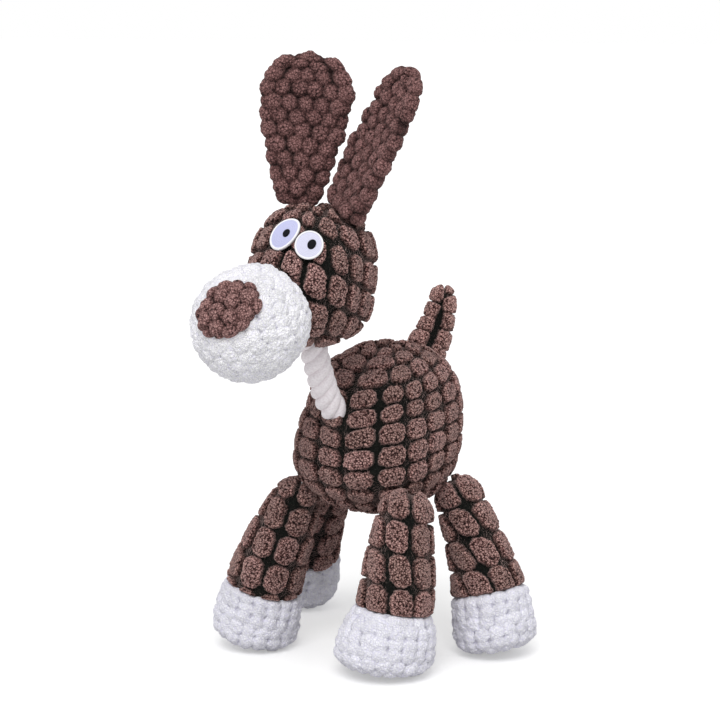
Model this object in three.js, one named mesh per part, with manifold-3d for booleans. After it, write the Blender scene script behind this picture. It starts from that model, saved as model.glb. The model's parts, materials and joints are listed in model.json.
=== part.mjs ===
// A stuffed plush dog toy that stands on four paws: brick-pile plush covers over fibre filling, a bobble-pile
// muzzle, nose, ears and paws, a laid cotton rope for a neck, and a blown squeaker inside the belly.
// Millimetres, +Z up, the dog looks along -Y and its left side is +X. The floor is Z = 0.

import * as THREE from 'three';
import { mergeVertices } from 'three/addons/utils/BufferGeometryUtils.js';
import Module from 'manifold-3d';

const wasm = await Module();
wasm.setup();

// Fabric, filling and clearances
const coverThickness = 3.2; // backing cloth and pile together
const padGroove = 2.3; // depth of the grooves between the pads of the brick pile
const coverGap = 0.3; // between a cover and what lies against it
const seatClearance = 0.4; // between a moving limb and the dimple that it sits in
const soleFlatDepth = 0.5; // how far the soft sole is pressed flat by the floor

// Torso
const torsoHeight = 104; // centre above the floor
const torsoHalf = { x: 35, y: 38, z: 39 };
const torsoSquareness = 2.5; // 2 is an ellipsoid, and more is boxier
const torsoLean = 4; // degrees that the upright lines of the torso lean backwards

// Pads of the brick pile, laid out in degrees round a body: columns side by side, the keel's turn from the
// nose, the lowest groove, the rows' step and climb from the keel to the back, and plain levels past them.
// Shares run from the middle of a groove to a pad's edge, across and up.
const torsoPads = {
  columns: 16,
  keel: 8,
  lowest: -52,
  step: 13.85,
  rows: 9,
  climb: 24,
  edgeShares: { across: 0.13, up: 0.17 },
  below: [-70],
  above: [],
};
const headPads = {
  columns: 18,
  keel: 4,
  lowest: -51,
  step: 25,
  rows: 4,
  climb: -60,
  edgeShares: { across: 0.17, up: 0.13 },
  below: [-72],
  above: [62, 76],
};
const flatMargin = 2.3; // past what is sewn on, where the grooves fade in again
const mouthFlat = 4; // width of the flat rim round the rope's mouth

// Head
const headHalf = { x: 26.8, y: 26.5, z: 31.5 };
const headShift = { x: 1.8, y: -2.4 }; // of the head's centre from the top of the rope
const headSquareness = 2.4;
const headRoll = 8; // degrees, towards the dog's left
const muzzleDroop = 21.6; // degrees that the muzzle points below level
const muzzleSeamDistance = 26.5; // from the head's centre to the seam
const muzzleBulgeDistance = 46.5; // from the head's centre to the widest place
const muzzleRadius = 25;
const muzzleFrontLength = 25; // from the widest place to the tip
const muzzleBackLength = 32; // the long half of the egg, whose back lies in the head
const muzzleBackStart = 15; // where the head's cover starts to follow the egg

// Nose and eyes: angles in degrees in the head's own frame, sizes as half widths
const nose = { azimuth: 12.5, elevation: 23.5, across: 13.9, up: 12.1, turn: -28, thickness: 2.6 };
const eyeThickness = 1.3;
const pupilThickness = 0.8;
const eyes = {
  left: { azimuth: 28, elevation: 34, across: 6, up: 6, turn: 0 },
  right: { azimuth: -1.5, elevation: 40.5, across: 6, up: 7.6, turn: -26 },
};
const pupil = { across: 1.7, up: 2.2, turn: -20, aside: 2.4 }; // aside, towards the dog's left

// Ears: a spoon outline, given as shares of length and of half width
const earLength = 62; // from the hinge line to the tip
const earHalfWidth = 20.8;
const earHalfThickness = 4;
const earTipThickness = 2.6;
const earCup = 5; // how far the widest edges curl forward
const earFlatRootShare = 1 / 3; // of the length, over which the cup comes in
const earParting = 0.3; // between the front and back panel
const earFlatness = 0.8; // below 1, the section is flatter than an ellipse
const earThinning = 3; // above 1, the ear thins towards its tip only
const earRootTurns = [12, 45]; // degrees round the rounded root, where its rings lie
const earHeightShares = [0, 0.13, 0.3, 0.47, 0.63, 0.74, 0.85, 0.93, 0.975, 1];
const earWidthShares = [0.45, 0.57, 0.74, 0.86, 0.97, 1, 0.92, 0.76, 0.52, 0.14];
const ears = {
  left: { seatX: 12.5, seatY: 3, lean: 18.5, back: 6, turn: -31 },
  right: { seatX: -12.5, seatY: -1, lean: -8, back: 9, turn: 32 },
};

// Legs: seat angles on the torso, and the way that each leg points, all in degrees
const hipRadius = 11.6;
const hipSeatDepth = 1.6; // how deep the top of a leg presses into the torso
const legHemRadius = 16.4;
const legBelly = 0.8; // how much the leg swells past a straight taper
const legLength = 46; // from the hip to the hem where the paw is sewn on, before it meets the floor
const pawHeight = 27;
const pawRadius = 21.9;
const pawRimRadius = 9; // rounding at the sole
const pawHeightShare = 0.62; // the widest place of the paw, as a share of its height
const legStraightenShare = 0.3; // how much of its splay a leg loses from hip to paw
const legs = {
  front_left: { azimuth: 50, elevation: -41, splay: 11, towards: -20, fullness: 1.08 },
  front_right: { azimuth: -43, elevation: -42, splay: 17, towards: -80, fullness: 0.98 },
  hind_left: { azimuth: 123, elevation: -42, splay: 17, towards: 84, fullness: 0.98 },
  hind_right: { azimuth: -114, elevation: -42, splay: 34, towards: -127, fullness: 0.94 },
};

// Tail
const tailRadius = 9.6;
const tailTipRadius = 7;
const tailLength = 33;
const tailSeatDepth = 1.6;
const tailSeat = { azimuth: 180, elevation: 40 };
const tailLean = { back: 18, side: 7 };
const tailSag = 3; // how far the middle of the tail bows backwards
const tailFillingShare = 0.5; // of the mouth's radius, how far below the hinge the filling starts

// Neck rope: three laid strands with a knot at each end
const ropeRadius = 6.3; // over the crowns of the strands
const ropeGrooveShare = 0.16; // depth of the groove between two strands
const ropeStrands = 3;
const ropeLay = 21; // length of one full turn
const ropeSteps = 42;
const ropeSidesPerStrand = 4;
const ropeCrownPower = 0.5; // below 1, a strand's crown is broad and the groove beside it narrow
const ropeBaseElevation = 23; // where it leaves the chest seam, degrees above level
const neckReach = { x: -1.5, y: -16, z: 28.5 }; // from the chest seam to the underside of the head
const ropeOutward = 1.5; // how far it bows out in front of the chest
const ropeInward = { y: 19, z: -17 }; // from the chest seam to the knot inside the torso
const ropeTail = 15; // from the underside of the head to the knot inside it
const knotRadius = 8.6;
const ropeHoleMargin = 1.5;

// Squeaker: a blown bladder with a reed plug pressed into its face
const squeakerClearance = 3; // from the rope's knot, and from the cover's lining at the back
const squeaker = {
  halfThickness: 9.5,
  wall: 0.9,
  raise: -8, // from the torso's centre
  flatShare: 0.45, // flat part of the face, as a share of the radius
};
const plug = { radius: 4.4, flangeRadius: 6.6, flange: 1.2, length: 9, bore: 2.6 };
const reed = { width: 3.6, length: 6, thickness: 0.3 };
const pocketGap = 0.5;

// How far the parts swing, in degrees, and through which angles their hollows are cut
const nodSteps = [-8, 2, 12]; // back to forward, about the chest seam
const frontLegSteps = [-10, 8, 25]; // back to forward, about the hip
const hindLegSteps = [-25, -8, 10];
const tailSteps = [-20, 0, 20]; // from side to side
const dimpleCover = 2; // least thickness of cover under a limb's dimple

// How finely the round forms are cut: numbers of sides, steps or rounds
const limbSides = 16;
const domeSteps = 3;
const legSideShares = [1 / 3, 2 / 3, 1];
const hemRounds = 4;
const liningSides = 16;
const liningSteps = 8;
const knotSides = 14;
const ropeRoomSides = 12;
const ropeRoomSteps = 10;
const bladderSides = 20;
const bladderSteps = 6;
const toneHoleSides = 12;
const muzzleSides = 24;
const noseShellSides = 32;
const eggBackSteps = 4;
const eggFrontSteps = 6;
const eyeShellSides = 44;
const eyeShellSteps = 30;
const patchSides = 20;
const earArcSteps = 6;
const earGrooveSides = 14;

const degrees = (angle) => THREE.MathUtils.degToRad(angle);
const cutOverrun = 2; // how far a cutting tool runs past what it cuts
const weldDistance = 1e-3; // points closer than this are one

// Solids: closed geometries from three.js, cut and joined by a solid kernel.

// Manifold solid of a closed three.js geometry.
function solid(geometry) {
  const bare = new THREE.BufferGeometry();
  bare.setAttribute('position', geometry.getAttribute('position'));
  if (geometry.index) bare.setIndex(geometry.index);
  const merged = mergeVertices(bare, weldDistance);
  const mesh = new wasm.Mesh({
    numProp: 3,
    vertProperties: merged.attributes.position.array,
    triVerts: new Uint32Array(merged.index.array),
  });
  const made = new wasm.Manifold(mesh);
  if (made.volume() > 0) return made;
  const turned = new Uint32Array(merged.index.array);
  for (let i = 0; i < turned.length; i += 3) {
    [turned[i], turned[i + 1]] = [turned[i + 1], turned[i]];
  }
  mesh.triVerts = turned;
  return new wasm.Manifold(mesh);
}

// The three.js geometry of a solid.
function geometryOf(body) {
  const mesh = body.getMesh();
  const position = new Float32Array(mesh.numVert * 3);
  for (let i = 0; i < mesh.numVert; i++) {
    const start = i * mesh.numProp;
    position.set(mesh.vertProperties.subarray(start, start + 3), i * 3);
  }
  const geometry = new THREE.BufferGeometry();
  geometry.setAttribute('position', new THREE.BufferAttribute(position, 3));
  geometry.setIndex(new THREE.BufferAttribute(mesh.triVerts, 1));
  geometry.computeVertexNormals();
  return geometry;
}

const moved = (body, matrix) => body.transform(matrix.elements);
const at = (x, y, z) => new THREE.Matrix4().makeTranslation(x, y, z);

function matrixOf(object) {
  object.updateWorldMatrix(true, false);
  return object.matrixWorld.clone();
}

// A closed solid of revolution about +Z, from [radius, height] points.
function turned(points, sides = limbSides) {
  const profile = points.map(([radius, height]) => new THREE.Vector2(radius, height));
  return new THREE.LatheGeometry(profile, sides).rotateX(Math.PI / 2);
}

// A point of a swollen box: a direction pushed out towards the corners, stretched to the half sizes and
// leaned backwards.
function swollen(way, half, squareness, lean) {
  const sum = ['x', 'y', 'z'].reduce((total, k) => total + Math.abs(way[k]) ** squareness, 0);
  const point = way.clone().multiplyScalar(sum ** (-1 / squareness)).multiply(half);
  point.y += point.z * Math.tan(degrees(lean));
  return point;
}

// A smooth swollen box.
function pillow(half, squareness, across, down, lean = 0) {
  const geometry = new THREE.SphereGeometry(1, across, down).rotateX(Math.PI / 2);
  const position = geometry.getAttribute('position');
  for (let i = 0; i < position.count; i++) {
    const way = new THREE.Vector3().fromBufferAttribute(position, i);
    position.setXYZ(i, ...swollen(way, half, squareness, lean));
  }
  return geometry;
}

const grown = (half, by) => ({ x: half.x + by, y: half.y + by, z: half.z + by });

// A swollen box whose skin is divided into flat-topped pads by grooves. grooveShare(point) says how much
// of the grooves' depth is left at a place.
function quilted(half, squareness, pads, lean = 0, grooveShare = () => 1) {
  const place = (turn, level, depth) => {
    const azimuth = turn + (pads.keel * (1 + Math.cos(degrees(turn)))) / 2;
    const risen = pads.climb * (Math.abs(turn) / 180 - 1 / 2) * Math.cos(degrees(level));
    const way = heading(azimuth, level + risen);
    const top = swollen(way, half, squareness, lean);
    return depth > 0 ? swollen(way, grown(half, -depth * grooveShare(top)), squareness, lean) : top;
  };
  const shares = (edge) => [0, edge, 1 - edge];
  const turns = [];
  for (let column = 0; column < pads.columns; column++) {
    for (const share of shares(pads.edgeShares.across)) {
      turns.push({ turn: ((column + share) / pads.columns) * 360 - 180, groove: share === 0 });
    }
  }
  const levels = [];
  for (let row = 0; row < pads.rows; row++) {
    for (const share of shares(pads.edgeShares.up)) {
      levels.push({ level: pads.lowest + (row + share) * pads.step, groove: share === 0 });
    }
  }
  levels.push({ level: pads.lowest + pads.rows * pads.step, groove: true });
  const plainRing = (level) => turns.map(({ turn }) => place(turn, level, 0));
  const rings = levels.map(({ level, groove }) => turns.map((line) => (
    place(line.turn, level, groove || line.groove ? padGroove : 0)
  )));
  const all = [...pads.below.map(plainRing), ...rings, ...pads.above.map(plainRing)];
  return loft(all, [place(0, -90, 0), place(0, 90, 0)]);
}

// The unit vector at an azimuth from the dog's nose (-Y) towards its left, and an elevation.
function heading(azimuth, elevation) {
  const [a, e] = [degrees(azimuth), degrees(elevation)];
  return new THREE.Vector3(Math.sin(a) * Math.cos(e), -Math.cos(a) * Math.cos(e), Math.sin(e));
}

// Where a ray from the centre meets a pillow's surface, and the surface's normal there.
function onPillow(half, squareness, direction, lean = 0) {
  const sum = ['x', 'y', 'z'].reduce((t, k) => t + Math.abs(direction[k] / half[k]) ** squareness, 0);
  const point = direction.clone().multiplyScalar(sum ** (-1 / squareness));
  const slope = (k) => (Math.sign(point[k]) * Math.abs(point[k] / half[k]) ** (squareness - 1)) / half[k];
  const tilt = Math.tan(degrees(lean));
  const normal = new THREE.Vector3(slope('x'), slope('y'), slope('z') - slope('y') * tilt).normalize();
  point.y += point.z * tilt;
  return { point, normal };
}

// Where something is sewn on, the pads lie flat. This gives the share of the grooves' depth that is left
// at a point, for seats with a middle and a reach each.
function flatUnder(seats) {
  return (point) => Math.min(...seats.map(({ middle, reach }) => (
    THREE.MathUtils.smoothstep(point.distanceTo(middle), reach, reach + flatMargin)
  )));
}

// A closed loft through rings that all have as many points. Each end is closed by a fan about its pole or,
// where none is given, about the middle of the ring.
function loft(rings, poles = []) {
  const count = rings[0].length;
  const points = rings.flat();
  const faces = [];
  for (let i = 0; i + 1 < rings.length; i++) {
    for (let j = 0; j < count; j++) {
      const [a, b] = [i * count + j, i * count + ((j + 1) % count)];
      faces.push(a, b, b + count, a, b + count, a + count);
    }
  }
  const close = (ring, start, flip, pole) => {
    const middle = () => ring.reduce((sum, p) => sum.add(p), new THREE.Vector3()).divideScalar(count);
    const centre = points.push(pole ?? middle()) - 1;
    for (let j = 0; j < count; j++) {
      const [a, b] = [start + j, start + ((j + 1) % count)];
      faces.push(...(flip ? [centre, b, a] : [centre, a, b]));
    }
  };
  close(rings[0], 0, true, poles[0]);
  close(rings.at(-1), (rings.length - 1) * count, false, poles[1]);
  const geometry = new THREE.BufferGeometry().setFromPoints(points);
  geometry.setIndex(faces);
  return geometry;
}

// A straight limb along +Z, laid along a curved spine whose length it keeps.
function bent(geometry, spine, length) {
  const position = geometry.getAttribute('position');
  const [point, up, side, front] = [0, 0, 0, 0].map(() => new THREE.Vector3());
  for (let i = 0; i < position.count; i++) {
    point.fromBufferAttribute(position, i);
    const share = THREE.MathUtils.clamp(point.z / length, 0, 1);
    up.copy(spine.getTangent(share));
    side.set(0, 1, 0).cross(up).normalize();
    front.crossVectors(up, side);
    const over = point.z - share * length;
    const place = spine.getPoint(share).addScaledVector(up, over);
    place.addScaledVector(side, point.x).addScaledVector(front, point.y);
    position.setXYZ(i, place.x, place.y, place.z);
  }
  return geometry;
}

// Copies of a tool, turned about a hinge to each of some angles: together they are the room that a part
// swings in.
function swung(tool, pivot, axis, angles) {
  const there = at(pivot.x, pivot.y, pivot.z);
  const back = at(-pivot.x, -pivot.y, -pivot.z);
  return angles.map((angle) => {
    const turn = new THREE.Matrix4().makeRotationAxis(axis, degrees(angle));
    return moved(tool, there.clone().multiply(turn).multiply(back));
  });
}
const forwardAxis = new THREE.Vector3(-1, 0, 0); // a positive turn swings a limb's lower end to the front
const wagAxis = new THREE.Vector3(0, 1, 0);

// Materials: one for each cloth, thread, rope and moulded plastic.

const plush = (colour) => new THREE.MeshStandardMaterial({ color: colour, roughness: 0.95, metalness: 0 });
const materials = {
  brickPlush: plush(0x8b6f6a),
  bobbleBrown: plush(0x6a4c4a),
  bobbleWhite: plush(0xe9e8ee),
  eyeThread: plush(0xdedcf2),
  pupilThread: plush(0x15161c),
  rope: plush(0xdcd6d6),
  filling: plush(0xf2f0ea),
  bladder: new THREE.MeshStandardMaterial({ color: 0xe6e6e2, roughness: 0.45, metalness: 0 }),
  plug: new THREE.MeshStandardMaterial({ color: 0xf4f4f0, roughness: 0.35, metalness: 0 }),
  reed: new THREE.MeshStandardMaterial({ color: 0xc9c9c4, roughness: 0.3, metalness: 0 }),
};

const toy = new THREE.Group();

// A named piece of the toy, from a geometry or a solid.
function piece(name, body, material, parent = toy) {
  const mesh = new THREE.Mesh(body.isBufferGeometry ? body : geometryOf(body), material);
  mesh.name = name;
  parent.add(mesh);
  return mesh;
}

// Frames of the torso, the neck and the head.

const torso = new THREE.Group();
torso.position.z = torsoHeight;
toy.add(torso);

const neckBase = onPillow(torsoHalf, torsoSquareness, heading(0, ropeBaseElevation), torsoLean).point;
const neckTop = neckBase.clone().add(neckReach);
const neckMiddle = neckBase.clone().lerp(neckTop, 1 / 2).add(new THREE.Vector3(0, -ropeOutward, 0));
const neckAxis = neckTop.clone().sub(neckMiddle).normalize();
const chestKnot = neckBase.clone().add({ x: 0, ...ropeInward });
const headKnot = neckTop.clone().addScaledVector(neckAxis, ropeTail);

const head = new THREE.Group();
head.rotation.y = degrees(headRoll);
head.position.copy(neckTop).add({ ...headShift, z: headHalf.z });
torso.add(head);
const torsoToHead = matrixOf(head).invert().multiply(matrixOf(torso));

// Legs: a plush tube, a paw cup and one filling each, hinged at the hip.

// Where a ball-topped limb sits: its pivot is just outside the torso, so that the ball presses in by depth.
function seatOnTorso(azimuth, elevation, radius, depth) {
  const { point, normal } = onPillow(torsoHalf, torsoSquareness, heading(azimuth, elevation), torsoLean);
  return point.addScaledVector(normal, radius - depth);
}

// The rounded end of a limb below its hinge, from the pole out to its rim.
function domeProfile(radius) {
  const points = [];
  for (let i = 0; i <= domeSteps; i++) {
    const turn = (i / domeSteps) * (Math.PI / 2);
    points.push([radius * Math.sin(turn), -radius * Math.cos(turn)]);
  }
  return points;
}

// Profile points of a leg or its filling: a ball at the hip, then a swelling taper to the hem.
function legProfile(inset, hem) {
  const points = domeProfile(hipRadius - inset);
  for (const share of legSideShares) {
    const swell = legBelly * Math.sin(share * Math.PI);
    points.push([hipRadius + (legHemRadius - hipRadius) * share + swell - inset, hem * share]);
  }
  return points;
}

// Profile points of a paw or its filling, from the hem down to the sole's centre.
function pawProfile(inset, hem) {
  const sole = hem + pawHeight - inset;
  const rim = pawRimRadius - inset;
  const points = [[legHemRadius - inset, hem]];
  points.push([pawRadius - inset, hem + pawHeight * pawHeightShare]);
  for (let i = 1; i <= domeSteps; i++) {
    const turn = (i / domeSteps) * (Math.PI / 2);
    const reach = pawRadius - pawRimRadius + rim * Math.cos(turn);
    points.push([reach, sole - rim + rim * Math.sin(turn)]);
  }
  points.push([0, sole]);
  return points;
}

const widened = (points, share) => points.map(([radius, height]) => [radius * share, height]);

// The leg's spine leaves the hip along its splay and straightens towards the paw.
function legSpine(leg, length) {
  const level = heading(leg.towards, 0);
  const way = (angle) => (
    level.clone().multiplyScalar(Math.sin(degrees(angle))).setZ(-Math.cos(degrees(angle)))
  );
  const start = way(leg.splay * (1 + legStraightenShare));
  const end = way(leg.splay * (1 - legStraightenShare));
  const bend = start.clone().multiplyScalar(length / 2);
  const tip = bend.clone().addScaledVector(end, length / 2);
  return new THREE.QuadraticBezierCurve3(new THREE.Vector3(), bend, tip);
}

// Three closed outlines of a leg whose hem is at a given length: cover, paw and filling.
function legForms(leg, hem) {
  const total = hem + pawHeight;
  const shape = (points) => bent(turned(points), legSpine(leg, total), total);
  const tube = [...widened(legProfile(0, hem), leg.fullness)];
  const tubeInside = [...widened(legProfile(coverThickness, hem), leg.fullness)].reverse();
  const cup = widened(pawProfile(0, hem + coverGap), leg.fullness);
  const cupInside = widened(pawProfile(coverThickness, hem + coverGap), leg.fullness).reverse();
  const core = [
    ...legProfile(coverThickness + coverGap, hem),
    ...pawProfile(coverThickness + coverGap, hem).slice(1),
  ];
  return {
    cover: shape([...tube, ...tubeInside]),
    paw: shape([...cup, ...cupInside, cup[0]]),
    filling: shape(widened(core, leg.fullness)),
    hem,
    total,
  };
}

const lowest = (geometry) => {
  geometry.computeBoundingBox();
  return geometry.boundingBox.min.z;
};

// The leg is stuffed until its sole just reaches the floor, which moves the hem by a few millimetres.
function hemToFloor(leg, pivotHeight) {
  let hem = legLength;
  for (let round = 0; round < hemRounds; round++) {
    hem += pivotHeight + soleFlatDepth + lowest(legForms(leg, hem).paw);
  }
  return hem;
}

const limbRooms = [];
const floorWidth = 6 * torsoHalf.x;
const floorTool = solid(new THREE.BoxGeometry(floorWidth, floorWidth, torsoHeight));

for (const [place, leg] of Object.entries(legs)) {
  const radius = hipRadius * leg.fullness;
  const pivot = seatOnTorso(leg.azimuth, leg.elevation, radius, hipSeatDepth);
  const hip = new THREE.Group();
  hip.position.copy(pivot);
  torso.add(hip);
  const height = torsoHeight + pivot.z;
  const forms = legForms(leg, hemToFloor(leg, height));
  const floor = moved(floorTool, at(0, 0, -height - torsoHeight / 2));
  piece(`${place}_leg_cover`, forms.cover, materials.brickPlush, hip);
  piece(`${place}_paw_cover`, solid(forms.paw).subtract(floor), materials.bobbleWhite, hip);
  piece(`${place}_leg_filling`, forms.filling, materials.filling, hip);
  const steps = place.startsWith('front') ? frontLegSteps : hindLegSteps;
  limbRooms.push((margin) => {
    const outline = widened(legProfile(-seatClearance - margin, forms.hem), leg.fullness);
    const limb = bent(turned([...outline, [0, forms.hem]]), legSpine(leg, forms.total), forms.total);
    const tool = solid(limb);
    return wasm.Manifold.hull(swung(moved(tool, at(pivot.x, pivot.y, pivot.z)), pivot, forwardAxis, steps));
  });
}

// Tail: a plush tube over fibre, hinged where it is sewn into the back seam.

{
  const pivot = seatOnTorso(tailSeat.azimuth, tailSeat.elevation, tailRadius, tailSeatDepth);
  const root = new THREE.Group();
  root.position.copy(pivot);
  root.rotation.set(-degrees(tailLean.back), degrees(tailLean.side), 0);
  torso.add(root);
  const profile = (inset) => {
    const points = domeProfile(tailRadius - inset);
    for (let i = 0; i <= domeSteps + 1; i++) {
      const turn = (i / (domeSteps + 1)) * (Math.PI / 2);
      const reach = (tailTipRadius - inset) * Math.cos(turn);
      points.push([reach, tailLength - tailTipRadius + (tailTipRadius - inset) * Math.sin(turn)]);
    }
    return points;
  };
  const spine = new THREE.QuadraticBezierCurve3(
    new THREE.Vector3(),
    new THREE.Vector3(0, tailSag, tailLength / 2),
    new THREE.Vector3(0, 0, tailLength),
  );
  // The cover is closed at the tip and open at the root, where it is sewn into the back seam.
  const mouth = tailRadius - coverThickness;
  const outside = profile(0).slice(1);
  const inside = profile(coverThickness).slice(1).reverse();
  const cover = bent(turned([...outside, ...inside, outside[0]]), spine, tailLength);
  piece('tail_cover', cover, materials.brickPlush, root);
  const core = profile(coverThickness + coverGap);
  const coreStart = -mouth * tailFillingShare;
  core[0] = [0, coreStart];
  core[1][1] = coreStart;
  piece('tail_filling', bent(turned(core), spine, tailLength), materials.filling, root);
  const place = matrixOf(root).premultiply(matrixOf(torso).invert());
  limbRooms.push((margin) => {
    const tool = moved(solid(bent(turned(profile(-seatClearance - margin)), spine, tailLength)), place);
    return wasm.Manifold.hull(swung(tool, pivot, wagAxis, tailSteps));
  });
}

// Neck rope: three laid strands with a knot at each end.

const ropePath = new THREE.CatmullRomCurve3([chestKnot, neckBase, neckMiddle, neckTop, headKnot]);

// A closed sweep along the rope's path whose section is given by radiusAt(angle).
function alongRope(sides, steps, radiusAt, lay = Infinity) {
  const frames = ropePath.computeFrenetFrames(steps);
  const length = ropePath.getLength();
  const rings = [];
  for (let i = 0; i <= steps; i++) {
    const middle = ropePath.getPointAt(i / steps);
    const twist = (length / lay) * 2 * Math.PI * (i / steps);
    const ring = [];
    for (let j = 0; j < sides; j++) {
      const angle = (j / sides) * 2 * Math.PI;
      const place = middle.clone();
      place.addScaledVector(frames.normals[i], radiusAt(angle) * Math.cos(angle + twist));
      place.addScaledVector(frames.binormals[i], radiusAt(angle) * Math.sin(angle + twist));
      ring.push(place);
    }
    rings.push(ring);
  }
  return solid(loft(rings));
}

const ball = (middle, radius, across = limbSides) => moved(
  solid(new THREE.SphereGeometry(radius, across, across / 2).rotateX(Math.PI / 2)),
  at(middle.x, middle.y, middle.z),
);

// The three-lobed section of a laid rope.
function strandRadius(angle) {
  const crown = Math.abs(Math.cos((angle * ropeStrands) / 2)) ** ropeCrownPower;
  return ropeRadius * (1 - ropeGrooveShare * (1 - crown));
}

const laidRope = alongRope(ropeSidesPerStrand * ropeStrands, ropeSteps, strandRadius, ropeLay)
  .add(ball(chestKnot, knotRadius, knotSides))
  .add(ball(headKnot, knotRadius, knotSides));
piece('neck_rope', laidRope, materials.rope, torso);

// Room for the rope: its own sweep and knots, wider by a margin.
function ropeRoom(margin) {
  const room = alongRope(ropeRoomSides, ropeRoomSteps, () => ropeRadius + margin);
  const knots = [chestKnot, headKnot].map((knot) => ball(knot, knotRadius + margin, ropeRoomSides));
  return room.add(knots[0]).add(knots[1]);
}

const nodAxis = forwardAxis.clone().negate(); // a positive turn carries the head forwards
const chestRoom = swung(ropeRoom(ropeHoleMargin), neckBase, nodAxis, nodSteps)
  .reduce((sum, room) => sum.add(room));
const headRoom = moved(ropeRoom(ropeHoleMargin), torsoToHead);

// Torso: a quilted cover with room for the limbs and the rope, two wads of fibre and the squeaker.

// The squeaker fills the room between the rope's knot and the lining at the back.
const knotSide = chestKnot.y + knotRadius + ropeHoleMargin;
const liningSide = torsoHalf.y - coverThickness;
const squeakerRadius = (liningSide - knotSide) / 2 - squeakerClearance;
const squeakerBack = (liningSide + knotSide) / 2;

{
  const form = (inset) => solid(
    pillow(grown(torsoHalf, -inset), torsoSquareness, liningSides, liningSteps, torsoLean),
  );
  const carved = (body, margin) => limbRooms.reduce((left, room) => left.subtract(room(margin)), body);
  const ropeSeat = { middle: neckBase, reach: ropeRadius + ropeHoleMargin + mouthFlat };
  const skin = quilted(torsoHalf, torsoSquareness, torsoPads, torsoLean, flatUnder([ropeSeat]));
  const outside = carved(solid(skin), 0);
  const lining = carved(form(coverThickness), dimpleCover);
  const front = solid(new THREE.BoxGeometry(torsoHalf.x, torsoHalf.y, 2 * torsoHalf.z));
  const mouth = chestRoom.intersect(moved(front, at(0, -torsoHalf.y, 0)));
  piece('torso_cover', outside.subtract(lining).subtract(mouth), materials.brickPlush, torso);

  // Two wads of fibre lie left and right of the squeaker and meet on the dog's middle plane.
  const fibre = carved(form(coverThickness + coverGap), dimpleCover + coverGap);
  const plugReach = plug.flangeRadius + pocketGap;
  const plugTop = squeaker.halfThickness + plug.flange + pocketGap;
  const plugRoom = turned([[0, 0], [plugReach, 0], [plugReach, plugTop], [0, plugTop]], bladderSides);
  const pocket = solid(turned(bladderProfile(-pocketGap), bladderSides)).add(solid(plugRoom));
  const squeakerPlace = at(0, squeakerBack, squeaker.raise);
  const sideways = new THREE.Matrix4().makeRotationY(Math.PI / 2).premultiply(squeakerPlace);
  const stuffing = fibre.subtract(chestRoom).subtract(moved(pocket, sideways));
  const span = 3 * torsoHalf.x;
  const sides = { left: 1, right: -1 };
  for (const [side, sign] of Object.entries(sides)) {
    const middle = sign * (span / 2 + coverGap / 2);
    const half = moved(solid(new THREE.BoxGeometry(span, span, span)), at(middle, 0, 0));
    piece(`torso_filling_${side}`, stuffing.intersect(half), materials.filling, torso);
  }

  const seat = new THREE.Group();
  seat.applyMatrix4(sideways);
  torso.add(seat);
  piece('squeaker_bladder', bladderShell(), materials.bladder, seat);
  piece('squeaker_plug', plugBody(), materials.plug, seat);
  piece('squeaker_reed', reedBody(), materials.reed, seat);
}

// Squeaker: bladder, plug and reed, made about +Z and laid on their side in the torso.

// Outline of the lens-shaped bladder, from the middle of one face round to the other. The inset moves it
// inwards.
function bladderProfile(inset) {
  const flat = squeakerRadius * squeaker.flatShare;
  const half = squeaker.halfThickness - inset;
  const reach = squeakerRadius - flat - inset;
  const points = [[0, -half]];
  for (let i = 0; i <= bladderSteps; i++) {
    const turn = -Math.PI / 2 + (i / bladderSteps) * Math.PI;
    points.push([flat + reach * Math.cos(turn), half * Math.sin(turn)]);
  }
  points.push([0, half]);
  return points;
}

// The bladder is a thin blown shell with a round neck hole in its face for the plug.
function bladderShell() {
  const outside = bladderProfile(0);
  const inside = bladderProfile(squeaker.wall);
  const hole = plug.radius + coverGap / 2;
  outside[outside.length - 1] = [hole, squeaker.halfThickness];
  inside[inside.length - 1] = [hole, squeaker.halfThickness - squeaker.wall];
  return turned([...outside, ...inside.reverse()], bladderSides);
}

// The plug is a flanged barrel with an air hole right through it.
function plugBody() {
  const face = squeaker.halfThickness + coverGap / 2;
  const low = face - plug.length;
  const high = face + plug.flange;
  const barrel = turned([
    [0, low],
    [plug.radius, low],
    [plug.radius, face],
    [plug.flangeRadius, face],
    [plug.flangeRadius, high],
    [0, high],
  ], bladderSides);
  const tone = turned([
    [0, low - cutOverrun],
    [plug.bore, low - cutOverrun],
    [plug.bore, high + cutOverrun],
    [0, high + cutOverrun],
  ], toneHoleSides);
  return solid(barrel).subtract(solid(tone));
}

// A thin tongue across the plug's air hole.
function reedBody() {
  const face = squeaker.halfThickness + coverGap / 2;
  const middle = face - plug.length / 2;
  return new THREE.BoxGeometry(reed.width, reed.thickness, reed.length).translate(0, 0, middle);
}

// Head: a quilted cover, the muzzle sewn to its open front, the eyes and the nose.

const muzzleWay = heading(0, -muzzleDroop);
const muzzleFrame = new THREE.Group();
muzzleFrame.quaternion.setFromUnitVectors(new THREE.Vector3(0, 0, 1), muzzleWay);
head.add(muzzleFrame);
const muzzleInHead = matrixOf(muzzleFrame).premultiply(matrixOf(head).invert());

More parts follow.
